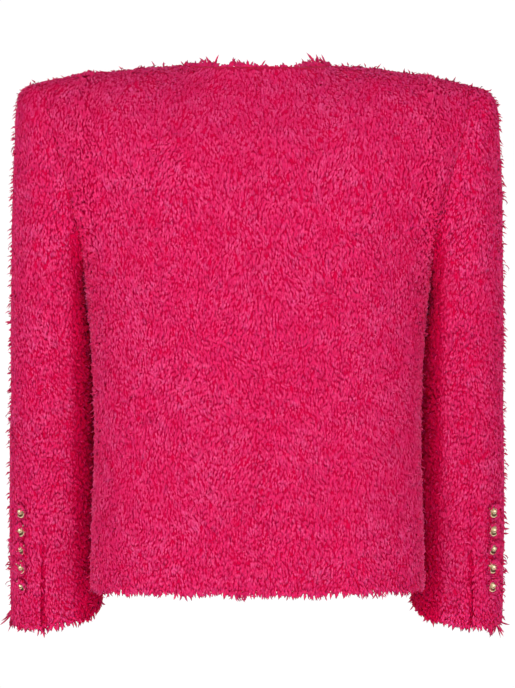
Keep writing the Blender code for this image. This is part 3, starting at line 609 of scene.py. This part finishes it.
def strand_arrays(paths, widths, depths, upward, tone, frayed):
    """Three-sided strands along paths of shape (count, steps, 3), pointed at both ends."""
    count, steps = paths.shape[:2]
    tangents = unit(np.gradient(paths, axis=1))
    side = unit(np.cross(tangents, upward[:, None, :]))
    up = np.cross(side, tangents)
    section = np.array(CROSS_SECTION)
    rings = (
        paths[:, 1:-1, None, :]
        + side[:, 1:-1, None, :] * widths[:, 1:-1, None, None] * section[None, None, :, :1]
        + up[:, 1:-1, None, :] * depths[:, 1:-1, None, None] * section[None, None, :, 1:]
    )
    points = np.concatenate([rings.reshape(count, -1, 3), paths[:, :1], paths[:, -1:]], axis=1)
    size = points.shape[1]
    root, tip, last = size - 2, size - 1, size - 5
    triangles = []
    for a, b in ((0, 1), (1, 2), (2, 0)):
        triangles.append((root, a, b))
        for low in range(0, last, 3):
            triangles.append((low + b, low + a, low + 3 + a))
            triangles.append((low + b, low + 3 + a, low + 3 + b))
        triangles.append((last + b, last + a, tip))
    triangles = np.array(triangles)[None] + (np.arange(count) * size)[:, None, None]
    along = np.concatenate([np.repeat(np.linspace(0, 1, steps)[1:-1], 3), [0.0, 1.0]])
    values = {
        "along": np.tile(along, count),
        "tone": np.repeat(tone, size),
        "frayed": np.repeat(frayed, size),
        "facing": np.repeat(upward, size, axis=0),
    }
    return points.reshape(-1, 3), triangles.reshape(-1, 3), values


def merged(parts):
    """One set of strand arrays out of several."""
    points, triangles, start = [], [], 0
    for part_points, part_triangles, _ in parts:
        points.append(part_points)
        triangles.append(part_triangles + start)
        start += len(part_points)
    values = {key: np.concatenate([part[2][key] for part in parts]) for key in parts[0][2]}
    return np.concatenate(points), np.concatenate(triangles), values


# ---- cloth ------------------------------------------------------------------------------


def smooth_patches(mesh):
    """Faces in patches that no sharp edge crosses, the largest patch first."""
    left = set(mesh.faces)
    patches = []
    while left:
        patch, queue = [], [left.pop()]
        while queue:
            face = queue.pop()
            patch.append(face)
            for edge in face.edges:
                if len(edge.link_faces) != 2 or edge.calc_face_angle() > SHARP:
                    continue
                for other in edge.link_faces:
                    if other in left:
                        left.discard(other)
                        queue.append(other)
        patches.append(patch)
    return sorted(patches, key=lambda patch: -sum(face.calc_area() for face in patch))


def press_creases(mesh, node):
    """Soft troughs and ridges, which fade out at the cut edges."""
    rim = [v for v in mesh.verts if any(e.calc_face_angle(0.0) > SHARP for e in v.link_edges)]
    edge = np.array([v.co[:] for v in rim])
    for crease in (c for c in CREASES if c.node == node):
        axis = 0 if crease.plane == "xz" else 1
        start = Vector((crease.a0, crease.z0))
        run = Vector((crease.a1, crease.z1)) - start
        shifts = []
        for vert in mesh.verts:
            place = Vector((vert.co[axis], vert.co.z))
            share = min(1.0, max(0.0, (place - start).dot(run) / run.length_squared))
            off = (place - start - run * share).length / crease.width
            if off < 2.5:
                fade = smooth(np.linalg.norm(edge - np.array(vert.co), axis=1).min() / 0.02)
                shifts.append((vert, crease.depth * math.exp(-off * off) * float(fade)))
        moves = [(vert, outward(vert) * shift) for vert, shift in shifts]
        for vert, move in moves:
            vert.co += move


def outward(vert):
    """The direction off the panel, the same on its outside and its inside."""
    faces = [face for face in vert.link_faces if face.material_index == 0]
    sign = 1.0 if faces else -1.0
    return vert.normal * sign


def lay_cloth(node, sink, outer_sink):
    """The woven ground of one panel: a thin shell inside the solid's form."""
    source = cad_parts[node]
    mesh = bpy.data.meshes.new(node + "_cloth")
    shell = bmesh.new()
    shell.from_mesh(source.data)
    bmesh.ops.remove_doubles(shell, verts=shell.verts, dist=1e-5)
    bmesh.ops.join_triangles(
        shell, faces=shell.faces, angle_face_threshold=math.radians(40),
        angle_shape_threshold=math.radians(60),
    )
    shell.normal_update()
    outside = smooth_patches(shell)[0]
    for face in shell.faces:
        face.material_index = 1
    for face in outside:
        face.material_index = 0
    crease = shell.edges.layers.float.new("crease_edge")
    for edge in shell.edges:
        if len(edge.link_faces) == 2 and edge.calc_face_angle() > SHARP:
            edge[crease] = 1.0
    skin = {vert for face in outside for vert in face.verts}
    start, run = OUTER_SINK_FROM
    middle, half_width, share = SEAM_RISE
    moves = []
    for vert in skin:
        normals = [face.normal for face in vert.link_faces if face.material_index == 0]
        aside = abs(vert.co.x)
        depth = mix(sink, outer_sink, float(smooth((aside - start) / run)))
        depth *= 1 - share * math.exp(-(((aside - middle) / half_width) ** 2))
        moves.append((vert, sum(normals, Vector()).normalized() * -depth))
    for vert, move in moves:
        vert.co += move
    press_creases(shell, node)
    shell.to_mesh(mesh)
    shell.free()
    piece = link(node + "_cloth", mesh, "pile_ground", "wrong_side")
    with bpy.context.temp_override(object=piece, active_object=piece, selected_objects=[piece]):
        bpy.context.view_layer.objects.active = piece
        rounder = piece.modifiers.new("Rounder", "SUBSURF")
        rounder.levels = rounder.render_levels = 1
        bpy.ops.object.modifier_apply(modifier=rounder.name)
    piece.data.shade_smooth()
    piece.data.set_sharp_from_angle(angle=SHARP)
    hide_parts(node)


def close_seams(pieces):
    """Bring the sewn edges of neighbouring panels together, so that no seam gapes."""
    trees = {piece: surface_tree(piece.data) for piece in pieces}
    moves = []
    for piece in pieces:
        rim = {v for p in piece.data.polygons if p.material_index == 1 for v in p.vertices}
        for index in rim:
            place = piece.data.vertices[index].co
            reach = ARMHOLE_GAP if place.z > ARMHOLE_BASE else SEWN_GAP
            for other in pieces:
                if other is piece:
                    continue
                spot, _, _, gap = trees[other].find_nearest(place, reach)
                if spot is not None and gap > 1e-6:
                    moves.append((piece, index, (spot - place) * (0.5 + SEAM_OVERLAP / gap)))
    for piece, index, move in moves:
        piece.data.vertices[index].co += move


def surface_tree(mesh):
    mesh.calc_loop_triangles()
    faces = [t.vertices[:] for t in mesh.loop_triangles]
    return BVHTree.FromPolygons([v.co[:] for v in mesh.vertices], faces)


Skin = namedtuple("Skin", "node corners normals rim")


def outer_skin(node):
    """Corners and smooth normals of the outside of a cloth piece, and points all along its rim."""
    mesh = bpy.data.objects[node + "_cloth"].data
    points = np.array([v.co[:] for v in mesh.vertices])
    mesh.calc_loop_triangles()
    chosen = [t for t in mesh.loop_triangles if t.material_index == 0]
    index = np.array([t.vertices[:] for t in chosen])
    corners = points[index]
    faces = np.cross(corners[:, 1] - corners[:, 0], corners[:, 2] - corners[:, 0])
    normals = np.zeros_like(points)
    for k in range(3):
        np.add.at(normals, index[:, k], faces)
    sides = [
        {key for face in mesh.polygons if face.material_index == slot for key in face.edge_keys}
        for slot in (0, 1)
    ]
    rim = np.array(sorted(sides[0] & sides[1]))
    share = np.arange(RIM_STEPS)[:, None, None] / RIM_STEPS
    line = mix(points[rim[:, 0]], points[rim[:, 1]], share).reshape(-1, 3)
    return Skin(node, corners, unit(normals)[index], line)


def point_tree(points):
    tree = KDTree(len(points))
    for number, point in enumerate(points):
        tree.insert(point, number)
    tree.balance()
    return tree


def nearest(tree, points):
    """How far each point is from the nearest one in the tree."""
    return np.array([tree.find(point)[2] for point in points])


def seam_tree(skins):
    """Rim points that are sewn to another panel, for looking up how near a seam is."""
    owners = [(skin.node, point) for skin in skins for point in skin.rim]
    rims = point_tree([point for _, point in owners])
    sewn = []
    for node, point in owners:
        near = rims.find_range(point, SEWN_GAP)
        if any(owners[found][0] != node for _, found, _ in near):
            sewn.append(point)
    return point_tree(sewn)


# ---- pile -------------------------------------------------------------------------------


def scatter(skin, spacing, dice):
    """Roots spread evenly over a skin, and the smooth normal at each."""
    a, b, c = skin.corners[:, 0], skin.corners[:, 1], skin.corners[:, 2]
    area = 0.5 * np.linalg.norm(np.cross(b - a, c - a), axis=1)
    count = np.floor(area / spacing**2 + dice.random(len(area))).astype(int)
    chosen = np.repeat(np.arange(len(area)), count)
    u, v = (np.arange(len(chosen)) * np.array(EVEN_STEPS)[:, None]) % 1.0
    flip = u + v > 1
    u, v = np.where(flip, 1 - u, u), np.where(flip, 1 - v, v)
    weights = np.stack([1 - u - v, u, v], axis=1)[:, :, None]
    roots = np.sum(skin.corners[chosen] * weights, axis=1)
    normals = unit(np.sum(skin.normals[chosen] * weights, axis=1))
    return roots, normals


def hanging(roots, normals, dice, patch, spread):
    """The way in which the yarns lie at each root: down the cloth, swung to and fro.

    Those in a patch of about this size swing together, and each by itself by the spread.
    """
    down = across(np.array([0.0, 0.0, -1.0]) + 0 * normals, normals)
    steep = np.linalg.norm(down, axis=1)
    loose = unit(across(dice.normal(size=roots.shape), normals))
    lie = unit(down + loose * np.clip(0.75 - steep, 0.0, 0.75)[:, None] * 1.2)
    swing = ripples(roots, patch, 5) * 0.24 + dice.normal(size=len(roots)) * spread
    side = np.cross(normals, lie)
    return unit(lie * np.cos(swing)[:, None] + side * np.sin(swing)[:, None])


def clear_of_buttons(roots):
    free = np.ones(len(roots), bool)
    for nest in NESTS:
        low, high = (np.array(corner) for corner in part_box(nest.node))
        free &= np.linalg.norm(roots - (low + high) / 2, axis=1) > NEST_EDGE
    return free


def nest_button(nest, pile, dice):
    """Tufts round a button, which lie over its rim and leave a part of its face open."""
    button = bpy.context.scene.jacket_buttons
    place = np.array(button_place(nest.node, button.sunk))
    sideways, upright, off, middle = place[:3, :4].T
    inward = -math.copysign(1.0, middle[0] * sideways[0])
    opening = middle + sideways * inward * NEST_SHIFT[0] - upright * NEST_SHIFT[1]
    turn = dice.uniform(0.0, 2 * math.pi, NEST_TUFTS)
    start = NEST_EDGE + dice.uniform(0.0002, 0.0026, NEST_TUFTS)
    outward_way = np.cos(turn)[:, None] * sideways + np.sin(turn)[:, None] * upright
    rim = middle + outward_way * start[:, None]
    clear = nest.clear * dice.uniform(0.7, 1.3, NEST_TUFTS)
    target = opening + unit(rim - opening) * clear[:, None]
    reach = np.linalg.norm(target - rim, axis=1) * dice.uniform(0.45, 1.0, NEST_TUFTS)
    off = np.tile(off, (NEST_TUFTS, 1))
    over = button.height * dice.uniform(0.40, 1.20, NEST_TUFTS)
    half = 0.5 * pile.tuft_width * dice.uniform(0.7, 1.1, NEST_TUFTS)
    crown = pile.lift * dice.uniform(0.9, 1.5, NEST_TUFTS)
    tip = pile.lift * dice.uniform(0.0, 0.6, NEST_TUFTS)
    sway = reach * dice.normal(size=NEST_TUFTS) * 0.15
    tone = dice.uniform(0.1, 0.8, NEST_TUFTS)
    roots = rim + off * over[:, None]
    return petal_arrays(
        roots, unit(target - rim), off, reach, half, crown, tip, sway, tone, off, 0 * tone + 1
    )


def grow_pile(skin, seams, pile, dice):
    """All tufts and wisps of one panel, as one mesh."""
    roots, normals = scatter(skin, pile.spacing, dice)
    keep = clear_of_buttons(roots)
    roots, normals = roots[keep], normals[keep]
    count = len(roots)
    seam = nearest(seams, roots)
    parted = mix(0.84, 1.0, smooth(seam / 0.0035))
    clump = 1 + 0.16 * ripples(roots, 0.012, 21)
    reach = pile.tuft * dice.uniform(0.70, 1.30, count) * clump * parted
    lie = hanging(roots, normals, dice, patch=0.030, spread=0.16)
    high = dice.uniform(0.0, 1.0, count)
    crown = pile.lift * mix(0.45, 1.60, high) * clump * parted
    middle, half_width, extra = RIDGE
    crown *= 1 + extra * np.exp(-(((np.abs(roots[:, 0]) - middle) / half_width) ** 2))
    tip = crown * dice.uniform(-0.10, 0.75, count)
    half = 0.5 * pile.tuft_width * dice.uniform(0.65, 1.35, count) * parted * clump
    sway = reach * dice.normal(size=count) * 0.08
    tone = dice.uniform(0.15, 0.95, count) + 0.25 * ripples(roots, 0.010, 33)
    tone = np.clip(tone - 0.25 * (1 - smooth(seam / 0.003)), 0.0, 1.0)
    # Painted shade: in the fold and under the vent's edge a tuft loses its pale tone and lies lower
    # on its colour ramp.
    fold, vent = fold_painted_shade(skin.node, roots), vent_painted_shadow(skin.node, roots)
    # Painted light and shade: tufts that stand higher are paler, and those lying lower are more
    # crimson.
    tone *= (1 - fold) * (1 - vent) * mix(0.25, 1.25, high)
    tone = np.clip(tone, 0.0, 1.0)
    lit_level = mix(0.56, 1.0, smooth(high * 1.6)) * (1 - FOLD_SHADE[0] * fold)
    # Painted shadow under the vent's edge, and a little in the fold, pushes a tuft below its root's
    # colour.
    lit_level -= FOLD_SHADE[1] * fold + VENT_SHADE * vent
    crown *= 1 - 0.6 * vent
    tufts = petal_arrays(roots, lie, normals, reach, half, crown, tip, sway, tone, normals, lit_level)
    side = skin.node.removeprefix("sleeve_top_")
    nests = [nest for nest in NESTS if nest.node.startswith("button_" + side)]
    rings = [nest_button(nest, pile, dice) for nest in nests]
    return merged([tufts, stand_up(skin, pile, dice), grow_wisps(skin, pile, dice), *rings])


def stand_up(skin, pile, dice):
    """Tufts that stand out of the pile, for its ragged outline."""
    roots, normals = scatter(skin, 1 / math.sqrt(pile.stubs), dice)
    count = len(roots)
    lie = hanging(roots, normals, dice, patch=0.022, spread=0.7)
    rise = dice.uniform(0.25, 1.15, count)[:, None]
    along = lie * np.cos(rise) + normals * np.sin(rise)
    off = normals * np.cos(rise) - lie * np.sin(rise)
    reach = pile.stub * dice.uniform(0.65, 1.35, count)
    half = 0.5 * pile.stub_width * dice.uniform(0.7, 1.3, count)
    crown = 0.7 * half
    tone = dice.uniform(0.0, 0.9, count)
    sway = reach * dice.normal(size=count) * 0.2
    # The same painted shade of the fold and the vent, on the standing tufts.
    lit_level = 1 - 0.5 * fold_painted_shade(skin.node, roots) - vent_painted_shadow(skin.node, roots)
    return petal_arrays(
        roots, along, off, reach, half, crown, 0 * crown, sway, tone, normals, lit_level
    )


def vent_painted_shadow(node, roots):
    """Painted shadow on each root of an under sleeve, 0 to 1, by how near it is to the vent's
    buttoned edge.
    """
    if not node.startswith("sleeve_under"):
        return np.zeros(len(roots))
    gap = nearest(point_tree(outer_skin(node.replace("under", "top")).rim), roots)
    near = 1 - smooth((gap - VENT_NEAR[0]) / VENT_NEAR[1])
    near *= np.abs(roots[:, 0]) > VENT_SIDE
    return near * smooth((VENT_TOP - roots[:, 2]) / VENT_FADE)


def fold_painted_shade(node, roots):
    """Painted shade on each root, 0 to 1, by how deep in the fold between the arm and the body it
    lies.
    """
    aside, below = np.abs(roots[:, 0]), smooth((UNDERARM[0] - roots[:, 2]) / UNDERARM[1])
    if node.startswith("sleeve"):
        return smooth((SLEEVE_FOLD[0] - aside) / SLEEVE_FOLD[1]) * below
    return 0.4 * smooth((aside - BODY_FOLD[0]) / BODY_FOLD[1]) * below


def grow_wisps(skin, pile, dice):
    """Thin curled yarns that stand a little out of the pile."""
    roots, normals = scatter(skin, 1 / math.sqrt(pile.wisps), dice)
    count = len(roots)
    lie = hanging(roots, normals, dice, patch=0.022, spread=0.8)
    long = dice.random(count) ** 3
    reach = pile.wisp * (0.55 + 1.15 * long)
    rise = dice.uniform(0.25, 0.85, count)
    curl = np.cross(normals, lie) * (reach * dice.normal(size=count) * 0.35)[:, None]
    step = np.linspace(0.0, 1.0, 4)[None, :, None]
    climb = normals * (reach * rise)[:, None]
    paths = (
        (roots - normals * 0.0005)[:, None]
        + lie[:, None] * reach[:, None, None] * step
        + climb[:, None] * np.sin(step * 2.2)
        + curl[:, None] * step**2
        + normals[:, None] * 0.0018 * np.minimum(step * 4, 1)
    )
    radius = dice.uniform(0.0008, 0.0013, count)[:, None] * np.linspace(1.0, 0.6, 4)[None]
    tone = dice.uniform(0.2, 1.0, count)
    return strand_arrays(paths, radius, radius, normals, tone, smooth(long * 3))


# ---- frayed edges -----------------------------------------------------------------------

Cutline = namedtuple("Cutline", "starts ends away normals")


def cut_edges(skins):
    """Edges of the outer skins where the cloth is cut, with the direction off the cloth."""
    starts, ends, away, normals = [], [], [], []
    for skin in skins:
        names = {}
        for corners, facing in zip(skin.corners, skin.normals):
            for k in range(3):
                a, b, c = corners[k], corners[(k + 1) % 3], corners[(k + 2) % 3]
                key = frozenset((tuple(a.round(6)), tuple(b.round(6))))
                if key in names:
                    names[key] = None
                else:
                    names[key] = (a, b, c, facing.mean(axis=0))
        for found in names.values():
            if found is None:
                continue
            a, b, c, normal = found
            run = unit(b - a)
            off = a - c
            off = off - run * np.dot(off, run)
            starts.append(a)
            ends.append(b)
            away.append(unit(off))
            normals.append(unit(normal))
    return Cutline(*(np.array(x) for x in (starts, ends, away, normals)))


def bunched(fray, places):
    """How much longer than elsewhere the yarns of a frayed edge are at each place."""
    extra = np.zeros(len(places))
    for bunch in BUNCHES:
        if bunch.node == fray.node:
            extra += bunch.extra * np.exp(-(((places[:, 0] - bunch.x) / bunch.half_width) ** 2))
    return extra


def fray_edge(fray, edges, dice):
    """Yarns along the cut edges that this frayed strip's solid lies on."""
    tree = surface_tree(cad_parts[fray.node].data)
    middles = (edges.starts + edges.ends) / 2 + edges.away * 0.0015
    near = np.array([tree.find_nearest(Vector(m))[3] < CUT_NEAR for m in middles])
    starts, ends = edges.starts[near], edges.ends[near]
    run = ends - starts
    lengths = np.linalg.norm(run, axis=1)
    crowd = 1 + 4.0 * np.clip(bunched(fray, middles[near]), 0.0, 1.0)
    count = np.floor(lengths * crowd / fray.pitch + dice.random(len(lengths))).astype(int)
    chosen = np.repeat(np.arange(len(lengths)), count)
    total = len(chosen)
    normals, away = edges.normals[near][chosen], edges.away[near][chosen]
    place = starts[chosen] + run[chosen] * dice.random(total)[:, None]
    place = place - normals * (dice.uniform(0.0, 0.0022, total))[:, None] - away * 0.001
    along = unit(run[chosen])
    along *= np.sign(np.sum(along * along[:1], axis=1, keepdims=True) + 1e-9)
    swing = fray.swing * (
        0.65 * ripples(place, 0.010, 41) + 0.55 * dice.normal(size=total)
    )
    bunch = np.clip(1 + 0.42 * ripples(place, 0.014, 43), 0.30, 1.5)
    reach = mix(fray.shortest, fray.longest, dice.random(total) ** 1.6) * bunch
    extra = bunched(fray, place)
    reach = np.minimum(reach, fray.longest * 1.15) * (1 + extra)
    lift = fray.lift * dice.normal(size=total) * 0.6
    head = unit(away + along * swing[:, None] + normals * lift[:, None])
    bend = across(dice.normal(size=(total, 3)), head) * 0.35
    steps = 6
    t = np.linspace(0.0, 1.0, steps)[None, :, None]
    paths = place[:, None] + head[:, None] * reach[:, None, None] * t
    paths += bend[:, None] * reach[:, None, None] * t**2
    looped = dice.random(total) < fray.loops
    arch = head[:, None] * (reach * 0.62)[:, None, None] * np.sin(t * math.pi * 0.86)
    arch = arch + along[:, None] * (reach * 0.55)[:, None, None] * t
    paths = np.where(looped[:, None, None], place[:, None] + arch, paths)
    thick = fray.thick * dice.uniform(0.45, 1.15, total) * np.where(looped, 0.7, 1.0)
    taper = np.linspace(1.0, 0.7, steps)[None]
    tone = dice.uniform(0.3, 1.0, total)
    frayed = dice.random(total) ** 2 * 0.6
    widths = thick[:, None] * taper
    arrays = strand_arrays(paths, widths, widths * 0.7, normals, tone, frayed)
    name = fray.node + "_yarns"
    piece = link(name, mesh_from_arrays(name, *arrays), "frayed_yarn")
    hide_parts(fray.node)


# ---- buttons ----------------------------------------------------------------------------


def choose_faces(mesh, test):
    """Select the faces whose centre passes a test, and nothing else."""
    for face in mesh.faces:
        face.select_set(bool(test(face.calc_center_median())))
    mesh.select_flush_mode()


def turn_button(settings):
    """One cast button, back on the XY plane, crown towards +Z."""
    radius, height = settings.radius, settings.height
    bpy.ops.object.select_all(action="DESELECT")
    bpy.ops.mesh.primitive_cylinder_add(
        vertices=40, radius=radius * 0.86, depth=height * 0.3, location=(0, 0, height * 0.15)
    )
    disc = bpy.context.object
    bpy.ops.object.mode_set(mode="EDIT")
    for inset, rise, share in (
        (0.0, height * 0.16, 1.16),
        (0.0, height * 0.20, 0.985),
        (radius * 0.16, height * 0.04, 1.0),
        (radius * 0.05, -height * 0.07, 1.0),
        (radius * 0.10, height * 0.11, 1.0),
        (radius * 0.16, height * 0.13, 1.0),
        (radius * 0.18, height * 0.07, 1.0),
    ):
        shell = bmesh.from_edit_mesh(disc.data)
        inner = min(
            (face for face in shell.faces if face.normal.z > 0.99),
            key=lambda face: face.calc_center_median().xy.length,
        )
        middle = inner.calc_center_median()
        choose_faces(shell, lambda centre: (centre - middle).length < 1e-6)
        bmesh.update_edit_mesh(disc.data)
        if inset:
            bpy.ops.mesh.inset(thickness=inset)
        else:
            bpy.ops.mesh.extrude_region_move(TRANSFORM_OT_translate={"value": (0, 0, 0)})
            bpy.ops.transform.resize(value=(share, share, 1.0))
        bpy.ops.transform.translate(value=(0, 0, rise))
    bpy.ops.object.mode_set(mode="OBJECT")
    rounder = disc.modifiers.new("Rounder", "BEVEL")
    rounder.width = radius * 0.03
    rounder.segments = 2
    rounder.limit_method = "ANGLE"
    rounder.angle_limit = math.radians(35)
    bpy.ops.object.modifier_apply(modifier=rounder.name)
    beads = [disc]
    for ring, count, size, level in (
        (0.90, settings.beads, 0.085, 0.70),
        (0.42, 12, 0.070, 0.88),
    ):
        for k in range(count):
            turn = 2 * math.pi * k / count
            across_it, up_it = radius * ring * math.cos(turn), radius * ring * math.sin(turn)
            bpy.ops.mesh.primitive_ico_sphere_add(
                subdivisions=2, radius=radius * size, location=(across_it, up_it, height * level)
            )
            beads.append(bpy.context.object)
    bpy.ops.mesh.primitive_uv_sphere_add(
        segments=20, ring_count=10, radius=radius * 0.24, location=(0, 0, height * 0.80)
    )
    beads.append(bpy.context.object)
    bpy.ops.object.select_all(action="DESELECT")
    for bead in beads:
        bead.select_set(True)
    bpy.context.view_layer.objects.active = disc
    bpy.ops.object.join()
    bpy.ops.object.transform_apply(location=True, rotation=True, scale=True)
    disc.data.shade_smooth()
    disc.data.set_sharp_from_angle(angle=math.radians(40))
    mark_crown(disc.data, height)
    return disc


def mark_crown(mesh, height):
    """A number at each point: 1 on what stands proud and 0 in the hollows."""
    rise = np.array([v.co.z for v in mesh.vertices]) / height
    crown = mesh.attributes.new("crown", "FLOAT", "POINT")
    crown.data.foreach_set("value", smooth((rise - 0.45) / 0.45).astype(np.float32))


def button_place(node, sunk):
    """The matrix that takes a button from the XY plane to its solid's place."""
    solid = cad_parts[node].data
    points = np.unique(np.array([v.co[:] for v in solid.vertices]).round(6), axis=0)
    centre = points.mean(axis=0)
    _, _, axes = np.linalg.svd(points - centre)
    facing = axes[2]
    sleeve = np.array([math.copysign(0.22, centre[0]), -0.05, centre[2]])
    if np.dot(facing, centre - sleeve) < 0:
        facing = -facing
    depth = (points - centre) @ facing
    middle = centre + facing * (depth.min() - sunk)
    upright = unit(across(np.array([0.0, 0.0, 1.0]), facing))
    sideways = np.cross(upright, facing)
    turn = Matrix((*(Vector(v).to_4d() for v in (sideways, upright, facing)), (0, 0, 0, 1)))
    turn = turn.to_3x3().transposed().to_4x4()
    return Matrix.Translation(middle) @ turn


# ---- operators --------------------------------------------------------------------------


class JACKET_OT_cloth(bpy.types.Operator):
    """Lay the woven ground of every panel inside its solid's form, and sew the panels up"""

    bl_idname = "jacket.cloth"
    bl_label = "Cloth"

    def execute(self, context):
        pile = context.scene.jacket_pile
        for cut in CUTS:
            sunk = (pile.sink, pile.outer_sink) if cut.node in PILED else (0.0, 0.0)
            lay_cloth(cut.node, *sunk)
        close_seams([bpy.data.objects[node + "_cloth"] for node in PILED])
        return {"FINISHED"}


class JACKET_OT_pile(bpy.types.Operator):
    """Grow the tufts and wisps of every outer panel"""

    bl_idname = "jacket.pile"
    bl_label = "Pile"

    def execute(self, context):
        pile = context.scene.jacket_pile
        skins = [outer_skin(node) for node in PILED]
        seams = seam_tree(skins)
        for number, skin in enumerate(skins):
            dice = np.random.default_rng(pile.seed + number)
            name = skin.node + "_pile"
            arrays = grow_pile(skin, seams, pile, dice)
            piece = link(name, mesh_from_arrays(name, *arrays), "pink_pile")
        return {"FINISHED"}


class JACKET_OT_frays(bpy.types.Operator):
    """Fray the hem, the neck, the front edges and the cuffs"""

    bl_idname = "jacket.frays"
    bl_label = "Frayed edges"

    def execute(self, context):
        seed = context.scene.jacket_pile.seed
        edges = cut_edges([outer_skin(node) for node in PILED])
        for number, fray in enumerate(FRAYS):
            fray_edge(fray, edges, np.random.default_rng(seed + 100 + number))
        return {"FINISHED"}


class JACKET_OT_buttons(bpy.types.Operator):
    """Cast one button and sew a copy of it over each cuff button"""

    bl_idname = "jacket.buttons"
    bl_label = "Buttons"

    def execute(self, context):
        settings = context.scene.jacket_buttons
        pattern = turn_button(settings)
        for nest in NESTS:
            mesh = pattern.data.copy()
            mesh.name = nest.node + "_cast"
            mesh.transform(button_place(nest.node, settings.sunk))
            piece = link(nest.node + "_cast", mesh, "antique_gold")
            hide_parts(nest.node)
        bpy.data.objects.remove(pattern, do_unlink=True)
        return {"FINISHED"}


class JACKET_OT_declare(bpy.types.Operator):
    """Does nothing: the panels' flat cuts are only listed in the CUTS table"""

    bl_idname = "jacket.declare"
    bl_label = "Flat cuts"

    def execute(self, context):
        return {"FINISHED"}


class JACKET_OT_studio(bpy.types.Operator):
    """Set up the camera, the soft lights and the pale floor"""

    bl_idname = "jacket.studio"
    bl_label = "Studio"

    def execute(self, context):
        studio = context.scene.jacket_studio
        place_camera(studio)
        lay_floor(studio)
        light_studio(studio)
        context.scene.view_settings.view_transform = "Standard"
        return {"FINISHED"}


def aim(thing, place, target):
    thing.location = place
    thing.rotation_euler = (Vector(target) - Vector(place)).to_track_quat("-Z", "Y").to_euler()


def place_camera(studio):
    data = bpy.data.cameras.new("Camera")
    data.sensor_fit = "HORIZONTAL"
    data.sensor_width = 36.0
    data.lens = data.sensor_width * studio.distance / (PICTURE_WIDTH * studio.pixel)
    data.clip_end = 50.0
    camera = bpy.data.objects.new("Camera", data)
    bpy.context.scene.collection.objects.link(camera)
    bpy.context.scene.camera = camera
    target = Vector((0.0, 0.0, studio.aim_z))
    back = Vector((math.sin(studio.azimuth), -math.cos(studio.azimuth), 0.0))
    aim(camera, target + back * studio.distance, target)


def lay_floor(studio):
    bpy.ops.object.select_all(action="DESELECT")
    bpy.ops.mesh.primitive_circle_add(
        vertices=96, radius=3.0, fill_type="NGON", location=(0, 0, studio.floor_z)
    )
    floor = bpy.context.object
    floor.name = "Floor"
    made = bpy.data.materials.new("studio_floor")
    made.use_nodes = True
    graph = Graph(made.node_tree)
    shader = made.node_tree.nodes["Principled BSDF"]
    place = graph.add("ShaderNodeTexCoord").outputs["Object"]
    shade = graph.blend(graph.noise(place, 2.0), (0.90, 0.90, 0.90, 1), (0.94, 0.94, 0.94, 1))
    graph.join(shade, shader.inputs["Base Color"])
    shader.inputs["Roughness"].default_value = 0.8
    floor.data.materials.append(made)


def light_studio(studio):
    for name, place, size, share in (
        ("Key_left", (1.7, 3.0, 0.15), 1.7, 0.90),
        ("Key_right", (-1.7, 3.0, 0.05), 1.7, 0.66),
        ("Camera_soft", (0.0, 3.9, 0.25), 1.2, 0.50),
        ("Low_fill", (0.0, 3.2, -1.2), 1.4, 0.30),
        ("Front_soft", (0.6, -3.2, 0.5), 2.0, 0.9),
    ):
        data = bpy.data.lights.new(name, "AREA")
        data.shape = "DISK"
        data.size = size
        data.energy = studio.key * share
        lamp = bpy.data.objects.new(name, data)
        bpy.context.scene.collection.objects.link(lamp)
        aim(lamp, place, (0.0, 0.0, -0.3))
    world = bpy.data.worlds.new("Studio")
    world.use_nodes = True
    graph = Graph(world.node_tree)
    background = world.node_tree.nodes["Background"]
    seen = graph.add("ShaderNodeLightPath").outputs["Is Camera Ray"]
    graph.join(graph.ramp(seen, 0.0, 1.0, studio.fill, 1.02), background.inputs["Strength"])
    background.inputs["Color"].default_value = (1.0, 1.0, 1.0, 1.0)
    bpy.context.scene.world = world


class JACKET_PT_sidebar(bpy.types.Panel):
    """The jacket's pieces and their settings"""

    bl_idname = "JACKET_PT_sidebar"
    bl_label = "Bouclé jacket"
    bl_space_type = "VIEW_3D"
    bl_region_type = "UI"
    bl_category = "Jacket"

    def draw(self, context):
        for operator in STEPS:
            self.layout.operator(operator.bl_idname)
        for name, group in SETTINGS:
            box = self.layout.box()
            box.label(text=group.__doc__)
            for key in group.__annotations__:
                box.prop(getattr(context.scene, name), key)


SETTINGS = (
    ("jacket_pile", PileSettings),
    ("jacket_cloth", ClothSettings),
    ("jacket_buttons", ButtonSettings),
    ("jacket_studio", StudioSettings),
)
STEPS = (
    JACKET_OT_studio,
    JACKET_OT_cloth,
    JACKET_OT_pile,
    JACKET_OT_frays,
    JACKET_OT_buttons,
    JACKET_OT_declare,
)


def register():
    for name, group in SETTINGS:
        bpy.utils.register_class(group)
        setattr(bpy.types.Scene, name, PointerProperty(type=group))
    for made in (*STEPS, JACKET_PT_sidebar):
        bpy.utils.register_class(made)


def unregister():
    for made in (JACKET_PT_sidebar, *reversed(STEPS)):
        bpy.utils.unregister_class(made)
    for name, group in reversed(SETTINGS):
        delattr(bpy.types.Scene, name)
        bpy.utils.unregister_class(group)


def main():
    register()
    for step in STEPS:
        group, call = step.bl_idname.split(".")
        getattr(getattr(bpy.ops, group), call)()


if __name__ == "__main__":
    main()
